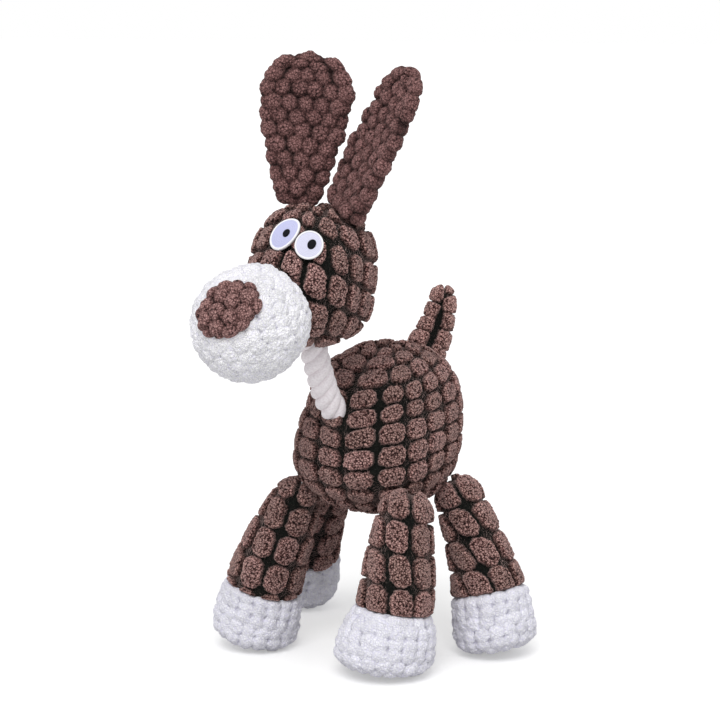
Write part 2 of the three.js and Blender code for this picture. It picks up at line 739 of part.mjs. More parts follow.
// Egg outline of the muzzle along its own axis, measured from the head's centre.
function eggProfile(inset, from) {
  const radius = muzzleRadius - inset;
  const points = [];
  const widthAt = (t) => {
    const reach = t < muzzleBulgeDistance ? muzzleBackLength : muzzleFrontLength - inset;
    const share = Math.min(1, Math.abs(t - muzzleBulgeDistance) / reach);
    return [radius * Math.sqrt(1 - share * share), t];
  };
  for (let i = 0; i < eggBackSteps; i++) {
    points.push(widthAt(THREE.MathUtils.lerp(from, muzzleBulgeDistance, i / eggBackSteps)));
  }
  for (let i = 0; i <= eggFrontSteps; i++) {
    const turn = (i / eggFrontSteps) * (Math.PI / 2);
    const forward = (muzzleFrontLength - inset) * Math.sin(turn);
    points.push([radius * Math.cos(turn), muzzleBulgeDistance + forward]);
  }
  points[points.length - 1][0] = 0;
  return points;
}

const seamFace = muzzleSeamDistance + coverGap;

// Everything in front of the seam plane, as a cutting tool in the head's frame.
const span = 4 * headHalf.z;
const beforeSeam = moved(
  solid(new THREE.BoxGeometry(span, span, span).translate(0, 0, span / 2 + muzzleSeamDistance)),
  muzzleInHead,
);

{
  // The head's form is a swollen box that runs into the back of the egg.
  const joined = (box, inset) => {
    const back = eggProfile(inset, muzzleBackStart).slice(0, eggBackSteps + 1);
    const egg = turned([[0, muzzleBackStart], ...back, [0, muzzleBulgeDistance]], muzzleSides);
    return solid(box).add(moved(solid(egg), muzzleInHead));
  };
  const form = (inset) => joined(
    pillow(grown(headHalf, -inset), headSquareness, liningSides, liningSteps),
    inset,
  );
  const eyeSeats = Object.values(eyes).map((eye) => ({
    middle: onPillow(headHalf, headSquareness, heading(eye.azimuth, eye.elevation)).point,
    reach: Math.max(eye.across, eye.up),
  }));
  let outside = joined(quilted(headHalf, headSquareness, headPads, 0, flatUnder(eyeSeats)), 0);
  for (const ear of Object.values(ears)) outside = outside.subtract(earGroove(ear));
  const cover = outside.subtract(form(coverThickness)).subtract(beforeSeam).subtract(headRoom);
  piece('head_cover', cover, materials.brickPlush, head);
  const fibre = form(coverThickness + coverGap).subtract(beforeSeam).subtract(headRoom);
  piece('head_filling', fibre, materials.filling, head);

  const outer = eggProfile(0, seamFace);
  const inner = eggProfile(coverThickness, seamFace);
  const shell = turned([...outer, ...inner.reverse(), outer[0]], muzzleSides);
  piece('muzzle_cover', shell, materials.bobbleWhite, muzzleFrame);
  const core = eggProfile(coverThickness + coverGap, seamFace);
  const wad = turned([[0, seamFace], ...core], limbSides);
  piece('muzzle_filling', wad, materials.filling, muzzleFrame);
}

// A patch punched out of a shell: an oval pushed through it from the middle.
function punch(patch, margin = 0) {
  const length = 2 * headHalf.z;
  const tool = new THREE.CylinderGeometry(1, 1, length, patchSides)
    .rotateX(Math.PI / 2)
    .scale(patch.across + margin, patch.up + margin, 1)
    .translate(0, 0, length / 2);
  const frame = new THREE.Group();
  frame.up.set(0, 0, 1);
  frame.lookAt(heading(patch.azimuth, patch.elevation));
  frame.rotateZ(degrees(patch.turn));
  return { solid: solid(tool), matrix: matrixOf(frame) };
}

{
  const skin = (by) => solid(pillow(grown(headHalf, by), headSquareness, eyeShellSides, eyeShellSteps));
  const shell = (low, high) => skin(high).subtract(skin(low));
  const eyeShell = shell(coverGap, coverGap + eyeThickness);
  const pupilBase = 2 * coverGap + eyeThickness;
  const pupilShell = shell(pupilBase, pupilBase + pupilThickness);
  for (const [side, eye] of Object.entries(eyes)) {
    const oval = punch(eye);
    piece(`eye_patch_${side}`, eyeShell.intersect(moved(oval.solid, oval.matrix)), materials.eyeThread, head);
    const dot = punch({ ...pupil, azimuth: eye.azimuth + pupil.aside, elevation: eye.elevation });
    piece(`pupil_${side}`, pupilShell.intersect(moved(dot.solid, dot.matrix)), materials.pupilThread, head);
  }

  const egg = (by) => moved(
    solid(turned([[0, seamFace], ...eggProfile(-by, seamFace)], noseShellSides)),
    muzzleInHead,
  );
  const patch = punch(nose);
  const middle = muzzleWay.clone().multiplyScalar(muzzleBulgeDistance);
  const tool = moved(patch.solid, patch.matrix.premultiply(at(middle.x, middle.y, middle.z)));
  const noseBody = egg(coverGap + nose.thickness).subtract(egg(coverGap)).intersect(tool);
  piece('nose_patch', noseBody, materials.bobbleBrown, head);
}

// Ears: two panels each, hinged on the crown.

// The hinge line of an ear in the head's frame: its seat on the crown, lifted by the root's own radius.
function earFrame(ear) {
  const flat = new THREE.Vector3(ear.seatX, ear.seatY, headHalf.z).normalize();
  const { point } = onPillow(headHalf, headSquareness, flat);
  const frame = new THREE.Group();
  frame.position.set(point.x, point.y, point.z + earHalfThickness - coverGap);
  frame.rotation.set(-degrees(ear.back), degrees(ear.lean), degrees(ear.turn), 'YXZ');
  frame.updateMatrix();
  return frame;
}

// The shallow groove in the crown that the round root of an ear lies in.
function earGroove(ear) {
  const reach = earHalfWidth * earWidthShares[0] + seatClearance;
  const radius = earHalfThickness + seatClearance;
  const rod = new THREE.CylinderGeometry(radius, radius, 2 * reach, earGrooveSides).rotateZ(Math.PI / 2);
  return moved(solid(rod), earFrame(ear).matrix);
}

// One panel of an ear: half of a flat oval section, lofted from the root to the tip and cupped forward.
function earPanel(facing) {
  const outline = earHeightShares.map((height, i) => new THREE.Vector2(height, earWidthShares[i]));
  const widths = new THREE.SplineCurve(outline);
  const ringAt = (z, halfWidth, halfThickness) => {
    const ring = [];
    const place = (x, depth) => {
      const cupped = THREE.MathUtils.smoothstep(z, 0, earLength * earFlatRootShare);
      const curl = earCup * (x / earHalfWidth) ** 2 * cupped;
      ring.push(new THREE.Vector3(x, facing * depth - curl, z));
    };
    const clear = earParting / 2;
    for (let i = 0; i <= earArcSteps; i++) {
      const turn = (i / earArcSteps) * Math.PI;
      place(halfWidth * Math.cos(turn), clear + (halfThickness - clear) * Math.sin(turn) ** earFlatness);
    }
    for (let i = 1; i < earArcSteps; i++) {
      place(-halfWidth * Math.cos((i / earArcSteps) * Math.PI), clear);
    }
    return ring;
  };
  const rings = [];
  const rootWidth = earHalfWidth * earWidthShares[0];
  for (const turn of earRootTurns) {
    const thick = earHalfThickness * Math.sin(degrees(turn));
    rings.push(ringAt(-earHalfThickness * Math.cos(degrees(turn)), rootWidth, thick));
  }
  earHeightShares.forEach((_, i) => {
    const place = widths.getPoint(i / (earHeightShares.length - 1));
    const thick = THREE.MathUtils.lerp(earHalfThickness, earTipThickness, place.x ** earThinning);
    rings.push(ringAt(place.x * earLength, place.y * earHalfWidth, thick));
  });
  return loft(rings);
}

for (const [side, ear] of Object.entries(ears)) {
  const frame = earFrame(ear);
  head.add(frame);
  piece(`ear_${side}_front_panel`, solid(earPanel(-1)), materials.bobbleBrown, frame);
  piece(`ear_${side}_back_panel`, solid(earPanel(1)), materials.bobbleBrown, frame);
}

// Origin.

// The part's origin is the middle of its footprint, on the floor.
toy.updateMatrixWorld(true);
const bounds = new THREE.Box3().setFromObject(toy, true);
toy.position.set(-(bounds.min.x + bounds.max.x) / 2, -(bounds.min.y + bounds.max.y) / 2, -bounds.min.z);

export default toy;
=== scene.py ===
import json

import bmesh
import bpy
import numpy as np
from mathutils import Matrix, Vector


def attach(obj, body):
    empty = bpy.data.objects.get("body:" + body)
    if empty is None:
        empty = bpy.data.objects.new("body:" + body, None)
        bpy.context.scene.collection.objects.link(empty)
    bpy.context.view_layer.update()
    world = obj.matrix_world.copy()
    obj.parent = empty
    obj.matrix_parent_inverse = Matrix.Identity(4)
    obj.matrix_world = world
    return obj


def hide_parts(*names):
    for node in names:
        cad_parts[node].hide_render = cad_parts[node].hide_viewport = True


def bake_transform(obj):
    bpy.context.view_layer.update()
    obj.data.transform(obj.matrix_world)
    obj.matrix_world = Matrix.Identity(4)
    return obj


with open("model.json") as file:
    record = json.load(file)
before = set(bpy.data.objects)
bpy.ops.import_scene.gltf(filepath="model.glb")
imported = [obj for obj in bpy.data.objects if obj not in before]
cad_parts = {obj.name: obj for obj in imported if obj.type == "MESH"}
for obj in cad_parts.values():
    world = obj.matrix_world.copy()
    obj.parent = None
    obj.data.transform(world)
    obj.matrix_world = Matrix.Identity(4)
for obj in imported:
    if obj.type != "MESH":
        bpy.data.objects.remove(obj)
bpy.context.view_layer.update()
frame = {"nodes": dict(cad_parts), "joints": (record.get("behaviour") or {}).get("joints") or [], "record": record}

# Studio. A pale floor runs out to a white surround. One broad sun stands high in front of the dog,
# and an even white sky fills the shadows. The camera stands where the photograph was taken from.

look_at = np.array([-2.735, 32.715, 133.63]) / 1000
camera_azimuth, camera_elevation = np.radians([34.0, 9.0])  # from the dog's nose towards its left
camera_distance = 1.0
focal_share = 2170 / 720  # focal length over the picture's width


def facing(azimuth, elevation):
    """Unit directions at an azimuth, which goes from -Y round by +X, and an elevation."""
    level = np.cos(elevation)
    return np.stack(np.broadcast_arrays(
        np.sin(azimuth) * level, -np.cos(azimuth) * level, np.sin(elevation)), -1)


towards_camera = facing(camera_azimuth, camera_elevation)
camera = bpy.data.objects.new("camera", bpy.data.cameras.new("camera"))
bpy.context.scene.collection.objects.link(camera)
camera.data.angle = 2 * np.arctan(0.5 / focal_share)
camera.data.clip_start, camera.data.clip_end = 0.05, 50
camera.location = Vector(look_at + camera_distance * towards_camera)
camera.rotation_euler = Vector(-towards_camera).to_track_quat("-Z", "Y").to_euler()
bpy.context.scene.camera = camera
bpy.context.scene.view_settings.view_transform = "Standard"

sun = bpy.data.objects.new("sun", bpy.data.lights.new("sun", "SUN"))
bpy.context.scene.collection.objects.link(sun)
sun_azimuth, sun_elevation = np.radians([26.0, 50.0])
sun.data.energy = 1.7
sun.data.angle = np.radians(35)
sun.rotation_euler = Vector(-facing(sun_azimuth, sun_elevation)).to_track_quat("-Z", "Y").to_euler()


def seen_plainly(nodes, links):
    """1 for rays that come from the camera, a mirror or through glass, and 0 for the rest."""
    path = nodes.new("ShaderNodeLightPath")
    highest = path.outputs["Is Camera Ray"]
    for ray in ("Is Glossy Ray", "Is Transmission Ray"):
        step = nodes.new("ShaderNodeMath")
        step.operation = "MAXIMUM"
        links.new(highest, step.inputs[0])
        links.new(path.outputs[ray], step.inputs[1])
        highest = step.outputs[0]
    return highest


sky = bpy.data.worlds.new("sky")
bpy.context.scene.world = sky
sky.use_nodes = True
sky_nodes, sky_links = sky.node_tree.nodes, sky.node_tree.links
sky_nodes.clear()
sky_mix = sky_nodes.new("ShaderNodeMixShader")
sky_links.new(seen_plainly(sky_nodes, sky_links), sky_mix.inputs[0])
for place, strength in ((1, 0.7), (2, 1)):  # of the light on the dog, and of the white that is seen
    white = sky_nodes.new("ShaderNodeBackground")
    white.inputs["Color"].default_value = (1, 1, 1, 1)
    white.inputs["Strength"].default_value = strength
    sky_links.new(white.outputs[0], sky_mix.inputs[place])
sky_out = sky_nodes.new("ShaderNodeOutputWorld")
sky_links.new(sky_mix.outputs[0], sky_out.inputs["Surface"])

floor_reach = 20.0  # metres each way, so that its edge lies on the horizon
floor_drop = 0.0002  # metres under the paws
floor_corners = [(-1, -1), (1, -1), (1, 1), (-1, 1)]
floor_mesh = bpy.data.meshes.new("floor")
floor_mesh.from_pydata(
    [(x * floor_reach, y * floor_reach, -floor_drop) for x, y in floor_corners], [], [(0, 1, 2, 3)])
floor = bpy.data.objects.new("floor", floor_mesh)
bpy.context.scene.collection.objects.link(floor)
floor_paint = bpy.data.materials.new("floor_paint")
floor_paint.use_nodes = True
floor_nodes, floor_links = floor_paint.node_tree.nodes, floor_paint.node_tree.links
floor_shader = floor_nodes["Principled BSDF"]
floor_shader.inputs["Base Color"].default_value = (0.72, 0.72, 0.72, 1)
floor_shader.inputs["Roughness"].default_value = 1
floor_shader.inputs["Specular IOR Level"].default_value = 0
floor_lift = floor_nodes.new("ShaderNodeMath")
floor_lift.operation = "MULTIPLY"
floor_lift.inputs[1].default_value = 0.36
floor_links.new(seen_plainly(floor_nodes, floor_links), floor_lift.inputs[0])
floor_shader.inputs["Emission Color"].default_value = (1, 1, 1, 1)
floor_links.new(floor_lift.outputs[0], floor_shader.inputs["Emission Strength"])
floor_mesh.materials.append(floor_paint)


# Legs. Four tubes of brick-pile plush over fibre, each with one seam down the back. The pile stands in
# rows of long eight-sided pads on a dark mesh backing, and the long way of a pad lies along the leg.
# Lengths are in millimetres until a mesh is made.

hinges = {joint["name"]: np.array(joint["pos_m"]) * 1000 for joint in frame["joints"]}
hip_radius, leg_hem_radius = 11.8, 16.4
leg_straighten = 0.3  # share of the splay that a leg loses from hip to paw
paw_height = 27.0
pile_height = 3.1  # of a pad over its backing
backing_depth = 2.6  # from the outline of the solids down to the backing
leg_pad_along, leg_pad_across = 14.6, 11.0
leg_gaps, leg_chamfer = (1.6, 0.6), 2.7
leg_seam_turn = np.radians(56)  # the seam lies behind and inside, opposite the camera
leg_rings = {"dome": 42, "side": 118, "cap": 6}  # of points: over the hip, down the side, in over the hem
ring_points = 236
leg_tuck = 0.8  # how far the pile is drawn in at the hem, and half as far at the seam
hem_width, leg_seam_width = 1.6, 1.3  # over which it is drawn in
leg_top, leg_top_balls = 30.0, 9  # length of leg that the torso gives way to, and the balls along it
leg_squeeze = 1.6  # how far the leg's pile presses into the torso's
picture_side = np.array([np.cos(camera_azimuth), np.sin(camera_azimuth), 0])  # to the picture's right
front_swing, hind_swing = (-10, 0, 8, 25), (-25, -12, 0, 10)
# Angles are in degrees. The rows of pads start phase above the hem, and offset and drawn set how far round
# the leg the columns stand at the hem, and how much further they stand for each millimetre up. The tube is
# wider than its taper by the swell in the middle and the flare at the hem. It bows sideways in the middle
# and sways sideways towards the paw, positive to the dog's left. The paw's width is a share of the widest.
legs = {
    "front_left": {"splay": 11, "towards": -20, "fullness": 1.08, "hem": 42.99, "phase": 2.1,
                   "offset": 7.9, "drawn": -0.16, "swell": 0.8, "flare": 0.1, "bow": 2.2, "sway": 0.0,
                   "paw": 1.0, "swing": front_swing},
    "front_right": {"splay": 17, "towards": -80, "fullness": 1.02, "hem": 43.84, "phase": 11.1,
                    "offset": 9.3, "drawn": 0.0, "swell": 1.4, "flare": 1.9, "bow": -1.5, "sway": -1.6,
                    "paw": 0.95, "swing": front_swing},
    "hind_left": {"splay": 17, "towards": 84, "fullness": 0.98, "hem": 44.39, "phase": 2.6,
                  "offset": 1.9, "drawn": -0.27, "swell": 0.4, "flare": 2.0, "bow": 1.6, "sway": 1.4,
                  "paw": 0.93, "swing": hind_swing},
    "hind_right": {"splay": 34, "towards": -127, "fullness": 0.94, "hem": 54.16, "phase": 4.0,
                   "offset": 3.0, "drawn": 0.0, "swell": 0.0, "flare": 0.4, "bow": -0.5, "sway": -3.2,
                   "paw": 0.92, "swing": hind_swing},
}


def scatter(i, j, k, seed):
    """A repeatable random number from 0 to 1 for whole numbers i, j and k: each is multiplied by its own
    large odd number, and the sum is mixed by shifts and one more product before its low bits are kept."""
    mixed = np.asarray(i, np.int64) * 374761393 + np.asarray(j, np.int64) * 668265263
    mixed = (mixed + np.asarray(k, np.int64) * 1103515245 + seed * 12345701) & 0xFFFFFFFF
    mixed = ((mixed ^ (mixed >> 15)) * 739982445) & 0xFFFFFFFF
    mixed = ((mixed ^ (mixed >> 12)) * 695872825) & 0xFFFFFFFF
    return ((mixed ^ (mixed >> 15)) & 0xFFFFFF) / 0x1000000


def drift(points, cell, seed):
    """Slow wandering from -1 to 1: random numbers at the corners of cubes of side cell, blended by the
    smooth cubic share of the way between them."""
    place = points / cell
    low = np.floor(place).astype(np.int64)
    share = place - low
    share = share * share * (3 - 2 * share)
    total = 0
    for corner in np.ndindex(2, 2, 2):
        weight = np.prod(np.where(np.array(corner) == 1, share, 1 - share), axis=-1)
        total = total + weight * scatter(*(low[..., a] + corner[a] for a in range(3)), seed)
    return 2 * total - 1


def curls(points, cell, seed):
    """Tips of a curly pile, from 0 to 1: one random point in each cube of side cell, and 1 less the
    squared distance to the nearest of them over three quarters of a cell."""
    place = points / cell
    low = np.floor(place).astype(np.int64)
    nearest = np.full(points.shape[:-1], 9.0)
    for step in np.ndindex(3, 3, 3):
        cube = low + np.array(step) - 1
        away = 0
        for a in range(3):
            tip = cube[..., a] + scatter(cube[..., 0], cube[..., 1], cube[..., 2], seed + a)
            away = away + (tip - place[..., a]) ** 2
        nearest = np.minimum(nearest, away)
    return 1 - np.clip(nearest / 0.75 ** 2, 0, 1)


def around(points):
    """(share, length, rise) of a grid of rings: how far round its ring a point lies, as a share; how
    long the ring is; and how far along the columns, on average, the ring lies from the first one."""
    step = np.linalg.norm(np.roll(points, -1, 1) - points, axis=-1)
    length = step.sum(1, keepdims=True)
    share = (np.cumsum(step, 1) - step) / np.maximum(length, 1e-9)
    risen = np.linalg.norm(np.diff(points, axis=0), axis=-1).mean(1)
    rise = np.concatenate([[0], np.cumsum(risen)])[:, None]
    return share, np.broadcast_to(length, share.shape), np.broadcast_to(rise, share.shape)


def unit(vectors):
    """The same directions with a length of 1."""
    return vectors / np.maximum(np.linalg.norm(vectors, axis=-1, keepdims=True), 1e-9)


def full_turn(count):
    """Angles evenly round a full turn, from 0."""
    return np.linspace(0, 2 * np.pi, count, endpoint=False)


def turning(axis, angle):
    """The matrix of a right-handed turn about an axis, 0 for X, 1 for Y and 2 for Z."""
    matrix = np.eye(3)
    first, second = (axis + 1) % 3, (axis + 2) % 3
    matrix[first, first] = matrix[second, second] = np.cos(angle)
    matrix[second, first] = np.sin(angle)
    matrix[first, second] = -np.sin(angle)
    return matrix


def outward(points):
    """Unit normals of a grid of rings: the step to the next column crossed with the step to the next
    ring, and at the poles the mean of the nearest ring."""
    normal = np.cross(np.roll(points, -1, 1) - np.roll(points, 1, 1), np.gradient(points, axis=0))
    for pole, ring in ((0, 1), (-1, -2)):
        normal[pole] = unit(normal[ring]).mean(0)
    normal = unit(normal)
    middle = points.mean((0, 1))
    return normal if (normal * (points - middle)).sum() > 0 else -normal


def lifted(points, lift):
    """A grid of rings with each point moved outwards along its normal by its own lift."""
    return points + outward(points) * lift[..., None]


def brick_pads(columns, rows, pitch, gaps, chamfer, seed, seam, rough):
    """Pile of eight-sided pads, as (height, tuft, rim), each from 0 to 1. rows is how many rows up a point
    lies and pitch the height of one, and columns(row) gives how many pads along its row it lies and the
    width of one. gaps are those between neighbours across and along, and the chamfer cuts the corners.
    Each pad is shifted, turned, sized and raised a little by its own luck. The distance inwards from its
    outline is the least of those from its sides, ends and cut corners, blended softly, plus the
    roughness; the pile rises over it as a steep quarter circle and crowns a little. A seam cuts pads off
    at its own distance."""
    height, tuft, rim = (np.zeros(rows.shape) for _ in range(3))
    own_row = np.floor(rows).astype(np.int64)
    steep, soft, sheen_rim_width = 1.05, 0.22, 2.6  # over which a pad's edge rises, rounds off and is painted lighter as sheen
    for row_step in (-1, 0, 1):
        row = own_row + row_step
        place, width = columns(row)
        own_column = np.floor(place).astype(np.int64)
        for column_step in (-1, 0, 1):
            column = own_column + column_step
            luck = [scatter(row, column, n, seed) for n in range(6)]
            away = (place - column - 0.5) * width + 0.7 * (luck[0] - 0.5)
            along = (rows - row - 0.5) * pitch + 0.5 * (luck[1] - 0.5)
            turn = 0.16 * (luck[2] - 0.5)
            away, along = np.abs(away + turn * along), np.abs(along - turn * away)
            half_across = np.maximum((width - gaps[0]) / 2 * (0.96 + 0.08 * luck[3]), 0.5)
            half_along = np.maximum((pitch - gaps[1]) / 2 * (0.97 + 0.06 * luck[4]), 0.5)
            sides, ends = half_across - away, half_along - along
            corners = (half_across + half_along - chamfer - away - along) / np.sqrt(2)
            inside = -soft * np.log(np.exp(-sides / soft) + np.exp(-ends / soft) + np.exp(-corners / soft))
            inside = np.minimum(inside + rough, seam)
            slope = np.clip(inside / steep, 0, 1)
            crown = np.clip(1 - (away / half_across) ** 2, 0, 1)
            crown = crown * np.clip(1 - (along / half_along) ** 2, 0, 1)
            top = np.sqrt(slope * (2 - slope)) * (0.86 + 0.14 * crown) * (0.9 + 0.14 * luck[5])
            wins = top > height
            height = np.where(wins, top, height)
            tuft = np.where(wins, luck[5], tuft)
            rim = np.where(wins, np.clip(inside / sheen_rim_width, 0, 1), rim)
    return height, tuft, rim


def fringe(base, seed):
    """Raggedness of a pad's outline in millimetres: curled tips of one size and wandering of another."""
    return 0.6 * (curls(base, 1.3, seed) - 0.45) + 0.25 * drift(base, 2.2, seed + 1)


def brick_pile(base, pads, seed):
    """Height of the brick pile over its backing: the pads, with curled tufts of two sizes on them."""
    curled = 0.42 * curls(base, 1.35, seed) + 0.18 * curls(base, 0.9, seed + 5)
    return (pile_height - 0.3) * pads + curled * np.clip(1.6 * pads, 0, 1)


def pile_skin(name, points, features, material):
    """A closed mesh of a grid of rings whose first and last ring are a point each: quads join
    neighbours, a fan closes each pole, and all faces are turned round if the volume comes out
    negative. features are named numbers per point that the material reads."""
    rows, across = points.shape[:2]

    def listed(grid):
        return np.concatenate([grid[:1, 0], grid[1:-1].reshape((-1,) + grid.shape[2:]), grid[-1:, 0]])

    places = listed(points) / 1000
    ring = 1 + np.arange((rows - 2) * across).reshape(rows - 2, across)
    beside = np.roll(ring, -1, 1)
    quads = np.stack([ring[:-1], beside[:-1], beside[1:], ring[1:]], -1).reshape(-1, 4)
    low = np.stack([np.zeros(across, np.int64), beside[0], ring[0]], -1)
    high = np.stack([ring[-1], beside[-1], np.full(across, len(places) - 1)], -1)
    fans = np.concatenate([low, high])
    a, b, c = (places[quads[:, k]] for k in (0, 1, 2))
    if (np.cross(b, c) * a).sum() < 0:
        quads, fans = quads[:, ::-1], fans[:, ::-1]
    corners = np.concatenate([quads.ravel(), fans.ravel()]).astype(np.int32)
    starts = np.concatenate([np.arange(len(quads)) * 4, quads.size + np.arange(len(fans)) * 3])
    mesh = bpy.data.meshes.new(name)
    mesh.vertices.add(len(places))
    mesh.vertices.foreach_set("co", places.ravel().astype(np.float32))
    mesh.loops.add(len(corners))
    mesh.loops.foreach_set("vertex_index", corners)
    mesh.polygons.add(len(starts))
    mesh.polygons.foreach_set("loop_start", starts.astype(np.int32))
    mesh.polygons.foreach_set("use_smooth", np.ones(len(starts), bool))
    mesh.update(calc_edges=True)
    mesh.validate()
    for feature, values in features.items():
        layer = mesh.attributes.new(feature, "FLOAT", "POINT")
        layer.data.foreach_set("value", listed(values).astype(np.float32))
    mesh.materials.append(material)
    made = bpy.data.objects.new(name, mesh)
    bpy.context.scene.collection.objects.link(made)
    return made


def cloth_shader(name, roughness, sheen, sheen_tint):
    """A new material, with its nodes, links and shader, for a cloth with a soft sheen."""
    material = bpy.data.materials.new(name)
    material.use_nodes = True
    nodes, links = material.node_tree.nodes, material.node_tree.links
    shader = nodes["Principled BSDF"]
    shader.inputs["Roughness"].default_value = roughness
    shader.inputs["Specular IOR Level"].default_value = 0.15
    shader.inputs["Sheen Weight"].default_value = sheen
    shader.inputs["Sheen Roughness"].default_value = 0.45
    shader.inputs["Sheen Tint"].default_value = (*sheen_tint, 1)
    return material, nodes, links, shader


def ramp(nodes, links, value, stops):
    """A colour ramp over a value; stops are (place, colour)."""
    node = nodes.new("ShaderNodeValToRGB")
    links.new(value, node.inputs[0])
    while len(node.color_ramp.elements) < len(stops):
        node.color_ramp.elements.new(0.5)
    for element, (place, colour) in zip(node.color_ramp.elements, stops):
        element.position = place
        element.color = (*colour, 1)
    return node.outputs[0]


def mixed(nodes, links, how, share, first, second):
    """Two colours mixed in the named way. Each is a socket or a plain colour, and the share a number."""
    node = nodes.new("ShaderNodeMix")
    node.data_type = "RGBA"
    node.blend_type = how
    for socket, value in ((node.inputs[0], share), (node.inputs[6], first), (node.inputs[7], second)):
        if isinstance(value, (int, float)):
            socket.default_value = value
        elif isinstance(value, tuple):
            socket.default_value = (*value, 1)
        else:
            links.new(value, socket)
    return node.outputs[2]


def toned(nodes, links, colour, value, stops):
    """A colour multiplied by a colour ramp over a value."""
    return mixed(nodes, links, "MULTIPLY", 1.0, colour, ramp(nodes, links, value, stops))


def in_place(nodes):
    """The place of a point in its object, in metres."""
    return nodes.new("ShaderNodeTexCoord").outputs["Object"]


def noise(nodes, links, scale, detail):
    """Soft noise with so many lumps to a metre."""
    node = nodes.new("ShaderNodeTexNoise")
    node.inputs["Scale"].default_value = scale
    node.inputs["Detail"].default_value = detail
    links.new(in_place(nodes), node.inputs["Vector"])
    return node


def cells(nodes, links, where, scale, feature="F1"):
    """Distance from the nearest of scattered points, or from the border between their cells."""
    node = nodes.new("ShaderNodeTexVoronoi")
    node.feature = feature
    node.inputs["Scale"].default_value = scale
    links.new(where, node.inputs["Vector"])
    return node.outputs["Distance"]


def pile_grain(nodes, links, cell):
    """(tips, slow): the curly tips of a pile as bent cells of the given size in metres, from 0 in the
    middle of one to 1 where they meet, and a slow change of shade."""
    # Noise pushes the place about by up to two cells, so that the cells bend.
    push = nodes.new("ShaderNodeVectorMath")
    push.operation = "MULTIPLY_ADD"
    push.inputs[1].default_value = (2.1 * cell,) * 3
    links.new(noise(nodes, links, 0.5 / cell, 2).outputs["Color"], push.inputs[0])
    links.new(in_place(nodes), push.inputs[2])
    tips = cells(nodes, links, push.outputs[0], 1 / cell)
    border = cells(nodes, links, push.outputs[0], 1 / cell, "DISTANCE_TO_EDGE")
    # Lines along the borders: 1 on one, and 0 from a fifth of a cell away.
    lines = nodes.new("ShaderNodeMath")
    lines.operation = "MULTIPLY_ADD"
    lines.use_clamp = True
    lines.inputs[1].default_value = -5.0
    lines.inputs[2].default_value = 1
    links.new(border, lines.inputs[0])
    both = nodes.new("ShaderNodeMix")
    both.inputs[0].default_value = 0.3  # share of the lines between tips
    links.new(tips, both.inputs[2])
    links.new(lines.outputs[0], both.inputs[3])
    return both.outputs[0], noise(nodes, links, 60, 3).outputs["Fac"]


def bumped(nodes, links, shader, height, distance, strength):
    """Bump on a shader's normal from a height, over a distance in metres."""
    bump = nodes.new("ShaderNodeBump")
    bump.inputs["Strength"].default_value = strength
    bump.inputs["Distance"].default_value = distance
    links.new(height, bump.inputs["Height"])
    links.new(bump.outputs[0], shader.inputs["Normal"])


def curled_bump(nodes, links, shader, tips, strength):
    """Bump of a curly pile, whose tips stand up where their value is 0."""
    turned = nodes.new("ShaderNodeMath")
    turned.operation = "SUBTRACT"
    turned.inputs[0].default_value = 1
    links.new(tips, turned.inputs[1])
    curl_height = 0.0006
    bumped(nodes, links, shader, turned.outputs[0], curl_height, strength)


def read(nodes, name):
    """A named number that the mesh carries."""
    node = nodes.new("ShaderNodeAttribute")
    node.attribute_name = name
    return node.outputs["Fac"]


def srgb(red, green, blue):
    """A colour from its screen values, 0 to 255, to the linear ones that a shader takes."""
    value = np.array([red, green, blue]) / 255
    linear = np.where(value < 0.04045, value / 12.92, ((value + 0.055) / 1.055) ** 2.4)
    return tuple(float(v) for v in linear)


def brick_plush_material():
    """Warm brown curly pile over a dark green-black mesh. Curl tips are light brown, and the crevices between
    them are painted shade. The pile is lighter at the rim of a pad, a painted sheen, and darker down its wall,
    painted shade; its tone changes slowly at random, and each pad has its own."""
    material, nodes, links, shader = cloth_shader("brick_plush", 0.95, 0.8, srgb(235, 200, 194))
    shader.inputs["Sheen Roughness"].default_value = 0.28
    tips, slow = pile_grain(nodes, links, 0.00100)
    # The darkest stops, in the crevices between curl tips, are painted shade; the lighter browns are the pile's
    # own speckle.
    pile = ramp(nodes, links, tips, [
        (0.0, srgb(206, 172, 165)), (0.28, srgb(170, 136, 130)), (0.44, srgb(134, 101, 97)),
        (0.58, srgb(78, 52, 50)), (0.76, srgb(28, 16, 15)),
    ])
    for value, stops in (
        (slow, [(0.3, (0.84, 0.84, 0.82)), (0.7, (1.08, 1.06, 1.07))]),
        (read(nodes, "tuft"), [(0.0, (0.88, 0.88, 0.86)), (1.0, (1.08, 1.05, 1.06))]),
        # Painted sheen: the pile is lighter towards each pad's rim.
        (read(nodes, "rim"), [(0.0, (1.5, 1.46, 1.44)), (0.3, (1.26, 1.22, 1.21)), (0.75, (1, 1, 1))]),
        # Painted shade: the pile darkens down each pad's wall into the gaps between pads.
        (read(nodes, "pile"), [(0.25, (0.2, 0.19, 0.19)), (0.62, (0.58, 0.56, 0.56)), (0.82, (1, 1, 1))]),
    ):
        pile = toned(nodes, links, pile, value, stops)
    mesh_cells = cells(nodes, links, in_place(nodes), 1250)
    backing = ramp(nodes, links, mesh_cells, [(0.1, srgb(30, 34, 30)), (0.6, srgb(12, 14, 12))])
    cover = ramp(nodes, links, read(nodes, "pile"), [(0.03, (0, 0, 0)), (0.14, (1, 1, 1))])
    links.new(mixed(nodes, links, "MIX", cover, backing, pile), shader.inputs["Base Color"])
    curled_bump(nodes, links, shader, tips, 1.0)
    return material


brick_plush = brick_plush_material()


